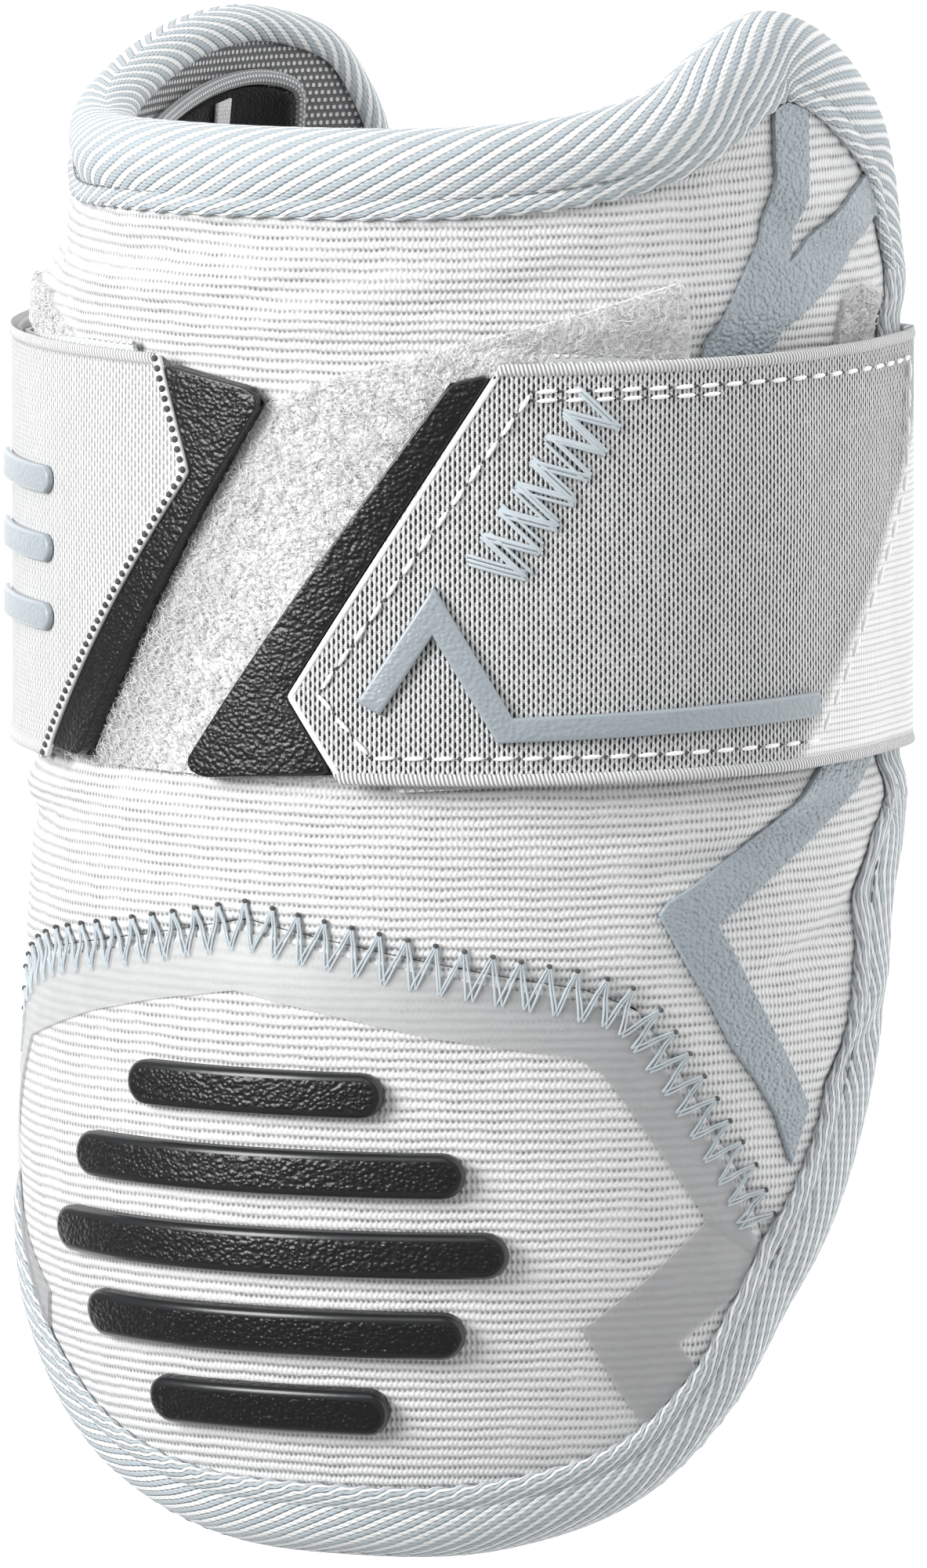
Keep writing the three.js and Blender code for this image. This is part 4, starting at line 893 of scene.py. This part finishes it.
# %% Edge tape
# Each row of the section: inset from the fold's nose, lift, and distance from the fold on the cloth,
# which runs from 17.9 mm outside to 8.6 mm inside, so the tape was cut 26.5 mm wide
TAPE_SECTION = np.array([
    (12.9, 0.35, 17.9), (12.95, 0.75, 17.5), (12.8, 1.2, 17.1), (12.2, 1.55, 16.4), (11.3, 1.62, 15.5),
    (10.4, 1.5, 14.6), (10.0, 1.32, 14.1), (9.7, 1.5, 13.7), (8.9, 1.82, 12.8), (7.8, 2.05, 11.7),
    (6.5, 2.15, 10.3), (5.1, 2.25, 8.9), (3.6, 1.85, 7.3), (2.2, 1.1, 5.7), (1.1, 0.1, 4.1),
    (0.4, -1.0, 2.7), (0.05, -2.1, 1.2), (0.0, -3.15, 0.0), (0.05, -4.2, -1.2), (0.4, -5.3, -2.7),
    (0.8, -6.2, -3.8), (1.3, -6.9, -4.7), (2.0, -7.4, -5.5), (2.9, -7.65, -6.4), (3.7, -7.6, -7.2),
    (4.3, -7.4, -7.8), (4.6, -7.1, -8.2), (4.6, -6.75, -8.6), (2.4, -6.75, -12.0),
    (2.4, -3.15, -18.0), (2.4, 0.35, 22.0), (12.9, 0.35, 17.9),
])
fine_edge = notched(smooth_loop(on_guard(OUTLINE), 0.7))
normals = inward(fine_edge)
for _ in range(6):
    normals = (np.roll(normals, 1, 0) + 2 * normals + np.roll(normals, -1, 0)) / 4
loop = np.concatenate([fine_edge, fine_edge[:1]])
normals = np.concatenate([normals, normals[:1]])
run = run_along(loop)
# A stripe takes about 4 mm of the edge, and it leans more below than on the collar
on_collar = soft_step(loop[:, 1], 20, 60)
pace = 4.2 + 0.1 * on_collar
lean = 0.65 - 0.25 * on_collar
count = np.concatenate([[0], np.cumsum(np.diff(run) / pace[1:])])
count *= round(count[-1]) / count[-1]
s, w, cloth = TAPE_SECTION.T
outer_flap = (cloth > 14.2) & (cloth < 17.6)
scallop = 0.18 * np.cos(2 * math.pi * (count + lean * 17)[:, None]) * (cloth > 16)
ripple = 0.07 * np.sin(run / 2.7)[:, None] * outer_flap
u = loop[:, None, 0] + normals[:, None, 0] * (s + scallop)
v = loop[:, None, 1] + normals[:, None, 1] * (s + scallop)
w = w + ripple * (cloth > 12.4) + relief(u, v) * soft_step(cloth, 5, 11) * 0.9
phase = count[:, None] + lean[:, None] * np.abs(cloth)
pattern = np.stack([phase, np.broadcast_to(cloth, u.shape)], -1)
tape_points = wrap(u, v, w)
mesh = grid_mesh("edge_tape", tape_points, pattern, outwards=True)
edge_tape = piece("edge_tape", mesh, [striped_tape()], ["edge_binding"])


# %% [markdown]
# ## The strap
# One length of elastic goes from its right end in front, down the right side, flat under the guard
# and up the left side to its left end. q measures along that path from the middle of the flat back,
# and v across the strap. The two long edges carry a rounded overcast roll, which is real relief
# here, and its threads are in the material.

# %% The strap's path
STRAP_RIGHT_END = np.array([
    (0.355, 1.0), (0.142, -0.593), (0.197, -1.0),
])
STRAP_LEFT_END = np.array([
    (-0.201, -1.0), (0.028, 0.446), (-0.009, 1.0),
])
STRAP_RADIUS = FORM_RADIUS + 3.3
BEND_RADIUS = 3.8
BEND_HEIGHT = 4.6
bend_drop = AXIS_HEIGHT - BEND_HEIGHT
flat_half = math.sqrt((STRAP_RADIUS - BEND_RADIUS) ** 2 - bend_drop ** 2)
bend_turn = math.atan2(flat_half, bend_drop)
bend_length = BEND_RADIUS * bend_turn


def strap_place(angle, side):
    return -side * (flat_half + bend_length + STRAP_RADIUS * (math.pi - bend_turn - side * angle))


def strap_point(q, v, w):
    q, v, w = np.broadcast_arrays(*(np.asarray(x, float) for x in (q, v, w)))
    side, path, out = np.where(q < 0, 1.0, -1.0), np.abs(q), w - 3.3
    turn = (path - flat_half) / BEND_RADIUS
    bend_x = flat_half + (BEND_RADIUS + out) * np.sin(turn)
    bend_z = BEND_HEIGHT - (BEND_RADIUS + out) * np.cos(turn)
    round_turn = math.pi - bend_turn - (path - flat_half - bend_length) / STRAP_RADIUS
    round_x = (STRAP_RADIUS + out) * np.sin(round_turn)
    round_z = AXIS_HEIGHT + (STRAP_RADIUS + out) * np.cos(round_turn)
    flat = path <= flat_half
    bent = path <= flat_half + bend_length
    x = np.where(flat, -q, side * np.where(bent, bend_x, round_x))
    z = np.where(flat, 0.8 - out, np.where(bent, bend_z, round_z))
    return np.stack([x, v, z], -1)


def on_crown(u, v, w):
    """A point of the strap's front, by its place u across the laid-out guard."""
    angle = np.asarray(u, float) / FORM_RADIUS
    radius = STRAP_RADIUS + np.asarray(w, float) - 3.3
    angle, v, radius = np.broadcast_arrays(angle, np.asarray(v, float), radius)
    return np.stack([radius * np.sin(angle), v, AXIS_HEIGHT + radius * np.cos(angle)], -1)


# %% Strap mesh
ends = []
for rows, side in ((STRAP_RIGHT_END, 1), (STRAP_LEFT_END, -1)):
    place = on_strap_line(rows)
    ends.append(np.stack([strap_place(place[:, 0] / FORM_RADIUS, side), place[:, 1]], 1))
strap_loop = np.concatenate(ends)
stops = sorted([*strap_loop[:, 0], -flat_half - bend_length, -flat_half, flat_half,
                flat_half + bend_length])
columns = np.unique(np.concatenate([
    np.linspace(a, b, max(2, int((b - a) / (0.7 if 0 < b - a < 9 else 2.2)) + 1))
    for a, b in zip(stops, stops[1:])
]))
low, high = span_of(strap_loop)(np.clip(columns, strap_loop[:, 0].min() + 1e-6,
                                        strap_loop[:, 0].max() - 1e-6))
roll_rows = STRAP_HALF - np.array([0, 0.12, 0.35, 0.65, 0.95, 1.25, 1.5, 1.65, 1.8, 2.2])
rows = np.concatenate([-roll_rows, np.linspace(-27.8, 27.8, 27), roll_rows[::-1]])
v = np.clip(rows[:, None], low, high)
q = np.broadcast_to(columns, v.shape)
into_roll = np.clip((STRAP_HALF - np.abs(v)) / 1.7, 0, 1)
roll = 0.55 * np.sqrt(np.clip(1 - (2 * into_roll - 1) ** 2, 0, 1)) * (into_roll < 1)
roll = roll * (np.abs(q) > flat_half + bend_length)
wavy = 0.12 * np.sin(q / 9.0) * np.sin(v / 7.0) * (np.abs(q) > flat_half + bend_length + 4)
# Past the hook tape the strap lies down on the loops and the knit
past_crown = np.abs(np.abs(q) - flat_half - bend_length - STRAP_RADIUS * (math.pi - bend_turn))
hooked = np.where(q < 0, 85, 64) * STRAP_RADIUS * math.pi / 180
eased = soft_step(past_crown, hooked, hooked + 14) * soft_step(np.abs(q), flat_half + bend_length + 2,
                                                              flat_half + bend_length + 14)
points = strap_point(q, v, 4.1 + roll + wavy - 1.0 * eased)
mesh = grid_mesh("arm_strap_elastic", points, np.stack([q, v], -1))
patch_ends = [strap_place(math.radians(a), 1) for a in (92.4, 116.8)]
PATCH_SLOPE = (patch_ends[1] - patch_ends[0]) / (9.0 + 23.2)
PATCH_AT = patch_ends[0] + 23.2 * PATCH_SLOPE
elastic = woven_elastic()
strap = piece("arm_strap_elastic", mesh, [elastic], ["arm_strap"])
thicken(strap, 1.55)

# %% [markdown]
# ## Loop panels
# Each panel is a felt ground with a slightly lumpy face, and thousands of small curls of nylon
# stand on the parts that show. One curl is a short bent tube with three sides. A curl's place,
# heading and lean are random, from a fixed seed.

# %% Panels and curls
LOOP_FRONT = np.array([
    (-0.25, -1.0), (-0.25, 0.164), (0.107, 0.777), (0.198, 0.941), (0.552, 1.357), (0.56, 1.082),
    (0.56, -0.9), (0.17, -1.0),
])
LOOP_LEFT = np.array([
    (-0.74, -0.8), (-0.74, 0.92), (-0.48, 1.18), (-0.27, 1.18), (-0.165, 0.96), (-0.19, 0.48),
    (-0.262, 0.3), (-0.262, -0.8),
])
LOOP_RIGHT = np.array([
    (0.785, -0.82), (0.785, 1.2), (0.82, 1.26), (0.865, 1.22), (0.865, -0.82),
])
TAB_LEFT = np.array([
    (0.1, 0.86), (0.112, 0.79), (-0.132, -0.97),
])
tab_top, tab_foot = on_strap_line(TAB_LEFT)[1:]
TAB_SLOPE = (tab_top[0] - tab_foot[0]) / (tab_top[1] - tab_foot[1])
TAB_EDGE = tab_foot[0] - TAB_SLOPE * tab_foot[1]
felt = pile_felt()
curl_thread = plain_thread("nylon_loop_yarn", "#f0f0f0", 0.5)


def panel(name, rows, depth):
    loop = on_strap_line(rows)
    mesh = plate_mesh(name, [loop], -0.1, 0.9, wrap_on, corner=1.2, step=2.0)
    made = piece(name, mesh, [felt], [depth])
    return loop


def inside(loop, points):
    within = np.zeros(len(points), bool)
    for a, b in zip(loop, np.roll(loop, -1, 0)):
        crosses = (a[1] > points[:, 1]) != (b[1] > points[:, 1])
        reach_u = a[0] + (b[0] - a[0]) * (points[:, 1] - a[1]) / (b[1] - a[1] + 1e-12)
        within ^= crosses & (points[:, 0] < reach_u)
    return within


panels = [panel("loop_panel_front_pile", LOOP_FRONT, "loop_panel_front"),
          panel("loop_panel_left_pile", LOOP_LEFT, "loop_panel_left"),
          panel("loop_panel_right_pile", LOOP_RIGHT, "loop_panel_right")]
strap_right = on_strap_line(STRAP_RIGHT_END)
strap_left = on_strap_line(STRAP_LEFT_END)


def curls(name, count, panel_loops, hidden):
    low = np.min([loop.min(0) for loop in panel_loops], 0)
    high = np.max([loop.max(0) for loop in panel_loops], 0)
    spots = rng.uniform(low, high, (60000, 2))
    seen = np.any([inside(loop, spots) for loop in panel_loops], 0) & ~hidden(spots)
    spots = spots[seen][:count]
    t = np.linspace(0, 1, 6)
    heading = rng.uniform(0, 2 * math.pi, len(spots))
    size = rng.uniform(0.5, 1.25, len(spots))
    bend = rng.uniform(-1, 1, len(spots))[:, None]
    arc = (t - 0.5) * math.pi * 1.1
    forward = size[:, None] * np.sin(arc)
    sideways = size[:, None] * bend * np.cos(arc) * 0.8
    u = spots[:, :1] + np.cos(heading)[:, None] * forward - np.sin(heading)[:, None] * sideways
    v = spots[:, 1:] + np.sin(heading)[:, None] * forward + np.cos(heading)[:, None] * sideways
    rise = rng.uniform(0.25, 0.85, len(spots))[:, None]
    spines = wrap_on(u, v, 0.95 + rise * np.cos(arc))
    mesh = tubes(name, spines, np.full(spines.shape[:2], 0.05), sides=3)
    piece(name, mesh, [curl_thread])
    print(len(spots), "curls")


def under_strap_or_tabs(spots):
    u, v = spots.T
    beside = np.abs(v) < STRAP_HALF - 0.3
    right = np.interp(v, strap_right[::-1][[0, 1, 2], 1], strap_right[::-1][[0, 1, 2], 0])
    left = np.interp(v, strap_left[:, 1], strap_left[:, 0])
    between = (u > left - 0.5) & (u < right + 0.5)
    return beside & ~between


curls("loop_curls_front", 5200, panels[:1], under_strap_or_tabs)
curls("loop_curls_sides", 2600, panels[1:], lambda spots: np.abs(spots[:, 1]) < STRAP_HALF + 0.3)

# %% [markdown]
# ## Hook tape, tabs and bars
# The hook tape under each strap end is a stiff white tape. The tabs are moulded rubber with a wide
# polished bevel round a grained face; a thin flange of each goes under the strap's end.

# %% Hook tape and tabs
HOOK_LEFT = np.array([
    (-0.466, 0.93), (-0.466, -0.93),
])
HOOK_RIGHT = np.array([
    (0.62, -0.95), (0.62, 0.95),
])
TAB_RIGHT = np.array([
    (0.042, -1.003), (0.024, -0.944), (0.305, 0.905),
])


def end_line(rows, shift, share=1.0):
    line = on_strap_line(rows)
    tip = line[1].copy()
    reach_v = (line[:, 1] * share - tip[1]) / np.where(line[:, 1] == tip[1], 1, line[:, 1] - tip[1])
    moved = np.stack([tip[0] + (line[:, 0] - tip[0]) * reach_v + shift, line[:, 1] * share], 1)
    moved[1] = [tip[0] + shift, tip[1]]
    return moved


hook_finish = woven_mesh("nylon_hook_tape", 1.4, "#f2f2f2", "#c6c8c9")
for name, outer, rows, side in (("hook_patch_left", HOOK_LEFT, STRAP_LEFT_END, -1),
                                ("hook_patch_right", HOOK_RIGHT, STRAP_RIGHT_END, 1)):
    outline = np.concatenate([on_strap_line(outer), end_line(rows, side * 6.5, 1.04)])
    mesh = plate_mesh(name + "_tape", [outline], 1.42, 2.15, wrap, step=3.0)
    made = piece(name + "_tape", mesh, [hook_finish], [name])

grained = moulded_rubber("moulded_rubber_pebbled", "#0e0f10", "#505254", 0.6, 0.36, 0.17)
# The polished bevel is painted a shade lighter than the grained face: a painted highlight
polished = moulded_rubber("moulded_rubber_polished", "#1a1b1d", "#242527", 1, 0.28, smooth=True)


def tab(name, outer, rows, side):
    body = np.concatenate([on_strap_line(outer), end_line(rows, -side * 0.35, 0.95)])
    flange = np.concatenate([on_strap_line(outer), end_line(rows, side * 6, 0.95)])
    mesh = plate_mesh(name + "_moulding", [body], 1.4, 4.0, wrap, rounding=2.0, corner=1.6, step=3)
    made = piece(name + "_moulding", mesh, [grained, polished], [name])
    inner = plate_mesh(name + "_flange", [flange], 1.4, 2.15, wrap, step=3)
    piece(name + "_flange", inner, [polished])
    return made


tab("pull_tab_left", TAB_LEFT, STRAP_LEFT_END, -1)
tab("pull_tab_right", TAB_RIGHT, STRAP_RIGHT_END, 1)

# %% Bars on the cup and on the strap's left end
BAR_LENGTHS = [0.54, 0.84, 1.0, 0.84, 0.54]


def bar_outline(middle_u, middle_v, length, width):
    turn = np.linspace(-math.pi / 2, math.pi / 2, 11)
    end = np.stack([length / 2 - width / 2 + width / 2 * np.cos(turn), width / 2 * np.sin(turn)], 1)
    return np.concatenate([end, -end]) + [middle_u, middle_v]


for i, share in enumerate(BAR_LENGTHS):
    middle_v = -0.675 * CUP_DROP + (2 - i) * 11.5
    outline = bar_outline(FORM_RADIUS * math.radians(12.5), middle_v, 74 * share, 6.6)
    mesh = plate_mesh(f"cup_bar_{i + 1}", [outline], 0.3, 2.6, wrap_on, rounding=1.1, step=3)
    piece(f"cup_bar_{i + 1}", mesh, [grained, polished], [f"bumper_bar_{i + 1}"])

grey_rubber = moulded_rubber("grey_rubber_fine_grain", "#9aa3a9", "#aab2b7", 0.6, 0.36, 0.14)
grey_edge = moulded_rubber("grey_rubber_moulded_edge", "#98a2a9", "#a3acb2", 1, 0.3, smooth=True)
for i in range(3):
    outline = bar_outline(FORM_RADIUS * math.radians(-37), (1 - i) * 10, 30, 4)
    mesh = plate_mesh(f"strap_end_bar_{i + 1}", [outline], 4.35, 5.3, wrap, rounding=0.4, step=3)
    piece(f"strap_end_bar_{i + 1}", mesh, [grey_rubber, grey_edge],
          [f"strap_bar_{i + 1}"])

# %% [markdown]
# ## Stripes, strap line and clear film
# The angular stripes are common trim. The film ones are hot pressed, so their edges are low; the
# strap's line is a moulded strip with a bevel.

# %% Trim
FLAP_STRIPE = np.array([
    (0.674, 0.805), (0.68, 0.87), (0.735, 0.88), (0.73, 0.829), (0.73, 0.738), (0.726, 0.672),
    (0.712, 0.606), (0.695, 0.549), (0.756, 0.605), (0.809, 0.658), (0.855, 0.692),
    (0.896, 0.724), (0.92, 0.74), (0.93, 0.64), (0.908, 0.627), (0.874, 0.612), (0.804, 0.542),
    (0.744, 0.486), (0.681, 0.423), (0.66, 0.36), (0.575, 0.36), (0.58, 0.415), (0.655, 0.594),
    (0.67, 0.664), (0.679, 0.723),
])
SIDE_STRIPE = np.array([
    (0.762, -0.205), (0.747, -0.216), (0.681, -0.252), (0.621, -0.288), (0.53, -0.332),
    (0.52, -0.344), (0.548, -0.392), (0.575, -0.431), (0.604, -0.479), (0.638, -0.518),
    (0.663, -0.552), (0.684, -0.603), (0.712, -0.547), (0.686, -0.504), (0.654, -0.458),
    (0.621, -0.409), (0.588, -0.358), (0.621, -0.338), (0.681, -0.305), (0.776, -0.26),
    (0.862, -0.219), (0.875, -0.205),
])
STRAP_STRIPE = np.array([
    (0.226, -0.633), (0.289, -0.167), (0.358, -0.734), (0.71, -0.692),
])
FILM_OUTER = np.array([
    (-0.452, -0.693), (-0.405, -0.575), (-0.371, -0.52), (-0.328, -0.462), (-0.268, -0.43),
    (-0.208, -0.412), (-0.038, -0.383), (0.085, -0.361), (0.192, -0.381), (0.355, -0.411),
    (0.437, -0.426), (0.489, -0.446), (0.542, -0.517), (0.58, -0.573), (0.611, -0.616),
    (0.645, -0.693),
])
FILM_INNER = np.array([
    (-0.38, -0.652), (-0.315, -0.567), (-0.287, -0.529), (-0.26, -0.496), (-0.119, -0.456),
    (-0.02, -0.435), (0.082, -0.419), (0.186, -0.439), (0.295, -0.461), (0.428, -0.48),
    (0.455, -0.496), (0.481, -0.529), (0.509, -0.567), (0.575, -0.652),
])
FILM_CORNER = np.array([
    (0.575, -0.648), (0.507, -0.704), (0.439, -0.752), (0.485, -0.817), (0.53, -0.862),
    (0.56, -0.9), (0.62, -0.85), (0.582, -0.806), (0.55, -0.772), (0.614, -0.726), (0.65, -0.693),
    (0.638, -0.668),
])
FILM_MIRROR = 0.097


def clipped(outline, fence):
    """The outline with the points outside the fence drawn back on to it."""
    closer = []
    for point in outline:
        nearest = fence[np.argmin(np.linalg.norm(fence - point, axis=1))]
        closer.append(point if inside(fence, point[None])[0] else nearest)
    return np.array(closer)


def finer(outline, step=2.0):
    longer = []
    for a, b in zip(outline, np.roll(outline, -1, 0)):
        count = max(1, int(math.dist(a, b) / step))
        longer.append(a + (b - a) * np.linspace(0, 1, count, endpoint=False)[:, None])
    return np.concatenate(longer)


film_grain = moulded_rubber("hot_pressed_leather_grain_film", "#98a2a9", "#dde3e6", 0.6, 0.22, 0.4)
film_edge = moulded_rubber("hot_pressed_film_edge", "#8d98a0", "#a3aeb5", 1, 0.4, smooth=True)
for name, rows in (("flap_stripe", FLAP_STRIPE), ("side_stripe", SIDE_STRIPE)):
    outline = clipped(finer(on_guard(rows)), open_knit)
    mesh = plate_mesh(name + "_film", [outline], 0.2, 0.95, wrap_on, rounding=0.25, step=1.8)
    piece(name + "_film", mesh, [film_grain, film_edge], [name])

line = on_strap_line(STRAP_STRIPE)
into = np.diff(line, axis=0)
into /= np.linalg.norm(into, axis=1)[:, None]
runs = np.concatenate([into[:1], into[:-1] + into[1:], into[-1:]])
runs /= np.linalg.norm(runs, axis=1)[:, None]
reach = 1.8 / np.abs(np.sum(runs * np.concatenate([into, into[-1:]]), 1))
offset = np.stack([-runs[:, 1], runs[:, 0]], 1) * reach[:, None]
outline = np.concatenate([line + offset, (line - offset)[::-1]])
mesh = plate_mesh("strap_line_strip", [outline], 4.3, 5.3, wrap, rounding=0.45, step=2.5)
piece("strap_line_strip", mesh, [grey_rubber, grey_edge], ["strap_stripe"])

film = clear_film("clear_polyurethane_film", "#cfd0d0", "#dddede", 0.4, right_shade=0.6)
smoked = clear_film("clear_film_over_tape", "#b6b7b8", "#c0c1c2", 0.42)
mirrored = FILM_CORNER * [-1, 1] + [2 * FILM_MIRROR, 0]
band = np.concatenate([on_guard(FILM_OUTER), on_guard(FILM_INNER)[::-1]])
outlines = [clipped(finer(shape), open_knit) for shape in
            (band, on_guard(FILM_CORNER), on_guard(mirrored)[::-1])]
for i, outline in enumerate(outlines):
    mesh = plate_mesh(f"seam_film_{i + 1}", [outline], 0.12 + 0.05 * i, 0.5 + 0.05 * i, wrap_on,
                      step=2.5)
    piece(f"seam_film_{i + 1}", mesh, [smoked if i else film], [] if i else ["seam_film"])

# %% [markdown]
# ## Threads
# The seam between sleeve and cup is a wide zigzag in doubled grey-blue thread, from holes in the
# knit to points in the film. The strap's right end has a bartack, a heavy zigzag in pale blue
# thread, and rows of white running stitches near its edges. Each strand is a short tube.

# %% Seam zigzag
white_thread = plain_thread("white_polyester_thread", "#fbfbfb")
blue_thread = plain_thread("grey_blue_polyester_thread", "#b0bbc1")
pale_thread = plain_thread("pale_blue_embroidery_thread", "#bfcad0")
dark_hole = plain_thread("needle_hole_shadow", "#1b1c1e", 0.9)

fine_seam = along_line(seam_line, 0.8)[0]
shown = distance_to(edge, fine_seam, closed=True) > 12.5
fine_seam = fine_seam[shown & inside(edge, fine_seam)]
spots, heading = along_line(fine_seam, 4.0)
up = np.stack([-heading[:, 1], heading[:, 0]], 1)
outer = spots + up * 2.6
inner = spots - up * 4.3
lift = 0.62
starts, finishes = [], []
for k in range(len(spots) - 1):
    middle = (inner[k] + inner[k + 1]) / 2
    for side in (-0.32, 0.32):
        jog = rng.normal(0, 0.12, 2)
        starts += [outer[k] + heading[k] * side * 0.4, middle + heading[k] * side + jog]
        finishes += [middle + heading[k] * side + jog, outer[k + 1] + heading[k + 1] * side * 0.4]
starts, finishes = np.array(starts), np.array(finishes)
t = np.linspace(0, 1, 9)
flat = starts[:, None] + (finishes - starts)[:, None] * t[:, None]
arch = 0.35 * (1 - (2 * t - 1) ** 4)
spines = wrap_on(flat[..., 0], flat[..., 1], np.broadcast_to(0.36 + arch, flat.shape[:2]))
mesh = tubes("seam_zigzag_thread", spines, np.full(spines.shape[:2], 0.19), sides=6)
piece("seam_zigzag_thread", mesh, [blue_thread])
mesh = stitches("seam_needle_holes", [outer[k] + heading[k] * [[-0.2], [0.2]] for k in
                range(len(outer))], wrap_on, 0.45, length=0.95, pitch=0.9, width=0.8)
piece("seam_needle_holes", mesh, [dark_hole])

# %% Strap stitching
# The bartack climbs beside the strap's slanted end: seven zigs, 9 mm wide
tack_low, tack_high = np.array([48.3, 0.3]), np.array([63.4, 24.9])
tack_run = tack_high - tack_low
tack_side = np.array([tack_run[1], -tack_run[0]]) / np.linalg.norm(tack_run)
zigs = [tack_low + tack_run * k / 14 + tack_side * (4.0 if k % 2 else -4.0) for k in range(15)]
starts, finishes = np.array(zigs[:-1]), np.array(zigs[1:])
t = np.linspace(0, 1, 9)
parts = []
for side in (-0.5, 0.0, 0.5):
    off = tack_run / np.linalg.norm(tack_run) * side
    wiggle = rng.normal(0, 0.2, (len(starts), 1, 2))
    flat = starts[:, None] + (finishes - starts)[:, None] * t[:, None] + off + wiggle
    arch = 4.25 + (0.5 - 0.2 * abs(side)) * (1 - (2 * t - 1) ** 4)
    parts.append(on_crown(flat[..., 0], flat[..., 1], np.broadcast_to(arch, flat.shape[:2])))
spines = np.concatenate(parts)
mesh = tubes("strap_bartack_thread", spines, np.full(spines.shape[:2], 0.27), sides=6)
piece("strap_bartack_thread", mesh, [pale_thread])

right = on_strap_line(STRAP_RIGHT_END)
left = on_strap_line(STRAP_LEFT_END)
patch_u = FORM_RADIUS * np.radians([92.4, 103, 116.8, 119])
patch_line = np.stack([patch_u, [-25.5, -9, 9, 26.5]], 1)
inner_end = right + [[4.2, -4.0], [4.6, 0.6], [4.2, 4.0]]
rows = [np.array([inner_end[0], [patch_u[-1], 26.5]]),
        np.array([inner_end[0] - [0, 1.3], [inner_end[0][0] + 28, 25.2]]),
        np.array([inner_end[2], [patch_u[0], -26.5]]),
        inner_end, patch_line]
mesh = stitches("strap_running_stitches", rows, on_crown, 4.38, length=3.2, pitch=3.95, width=0.72,
                slant=0.06)
piece("strap_running_stitches", mesh, [white_thread])
mesh = stitches("strap_stitch_holes", rows[:4], on_crown, 4.12, length=0.7, pitch=3.95, width=0.48,
                first=0)
piece("strap_stitch_holes", mesh, [dark_hole])

def end_ribbon(name, line, shift, lift, radius):
    """Lay a narrow pale ribbon along one end of the strap, moved by `shift` across the line"""
    points = along_line(line, 1.0)[0]
    spines = on_crown(points[:, 0] + shift, points[:, 1], lift)[None]
    mesh = tubes(name, spines, np.full(spines.shape[:2], radius), sides=8)
    piece(name, mesh, [white_thread])

# Both ends have a ribbon, and the left one, cut hot and overcast, a row of dark holes
end_ribbon("strap_left_end_ribbon", left, -0.1, 4.15, 0.75)
mesh = stitches("strap_left_end_holes", [left], on_crown, 4.75, length=1.15, pitch=1.5, width=1.0)
piece("strap_left_end_holes", mesh, [dark_hole])
end_ribbon("strap_right_end_ribbon", right, 0.5, 3.9, 0.5)

# Dark running stitches that hold the edge tape's flap
normals = inward(edge)
stitch_line = edge + normals * 10.0
mesh = stitches("edge_tape_stitches", [np.vstack([stitch_line, stitch_line[:1]])], wrap, 1.2,
                length=1.9, pitch=2.6, width=0.34, slant=0.05)
grey_thread = plain_thread("dark_grey_polyester_thread", "#565c61")
piece("edge_tape_stitches", mesh, [grey_thread])

# %% [markdown]
# ## Floor, light and camera
# The guard lies open side down on a glowing white floor, such as a photographer's light table. The
# photograph was taken from its front right with a long lens, so the camera stands 4 m away in that
# direction. A soft key light grazes it from the camera's left, weak ones fill from the front and
# light the right limb, and the floor lights the sides from below, which leaves the middle right in
# soft grey shade.

# %% Floor and lights
floor_form = bmesh.new()
bmesh.ops.create_grid(floor_form, x_segments=2, y_segments=2, size=6)
floor_mesh = mesh_of(floor_form, "floor")
floor = bpy.data.objects.new("floor", floor_mesh)
bpy.context.scene.collection.objects.link(floor)
floor_finish, tree, shader = new_finish("pale_studio_floor", Roughness=0.9)
finish_with(tree, shader, add(tree, "MixRGB", grain(tree, 400, 2), colour("#8f8f8f"),
                              colour("#8a8a8a")))
shader.inputs["Emission Color"].default_value = colour("#ffffff")
shader.inputs["Emission Strength"].default_value = 1.25
floor_mesh.materials.append(floor_finish)

world = bpy.data.worlds.new("studio")
world.use_nodes = True
world.node_tree.nodes["Background"].inputs["Color"].default_value = colour("#ffffff")
world.node_tree.nodes["Background"].inputs["Strength"].default_value = 0.3
bpy.context.scene.world = world

VIEW = Vector((0.652, 0.113, 0.750)).normalized()
RIGHT = Vector((0, 1, 0)).cross(VIEW).normalized()
UP = VIEW.cross(RIGHT)
MIDDLE = Vector((0.0006, -0.033, 0.0385)) - UP * 0.0046 - RIGHT * 0.0008


def facing(place, target):
    back = (place - target).normalized()
    side = UP.cross(back).normalized()
    turned = Matrix((side, back.cross(side), back)).transposed().to_4x4()
    turned.translation = place
    return turned


def soft_light(name, place, size, watts):
    lamp = bpy.data.lights.new(name, "AREA")
    lamp.shape = "DISK"
    lamp.size = size
    lamp.energy = watts
    lit = bpy.data.objects.new(name, lamp)
    bpy.context.scene.collection.objects.link(lit)
    lit.matrix_world = facing(place, MIDDLE)
    return lit


soft_light("key_left", MIDDLE + VIEW * 0.95 - RIGHT * 1.28 + UP * 0.45, 0.9, 36)
soft_light("rim_right", MIDDLE + RIGHT * 1.6 + VIEW * 0.05 + UP * 0.3, 1.0, 21)
soft_light("front_fill", MIDDLE + VIEW * 1.4 - RIGHT * 0.3 + UP * 0.8, 1.0, 4)

# %% Camera
camera = bpy.data.cameras.new("camera")
camera.lens = 628
camera.sensor_width = 36
camera.clip_end = 20
viewer = bpy.data.objects.new("camera", camera)
bpy.context.scene.collection.objects.link(viewer)
place = MIDDLE + VIEW * 4
turned = Matrix((RIGHT, UP, VIEW)).transposed().to_4x4()
turned.translation = place
viewer.matrix_world = turned
bpy.context.scene.camera = viewer
bpy.context.scene.view_settings.view_transform = "Standard"
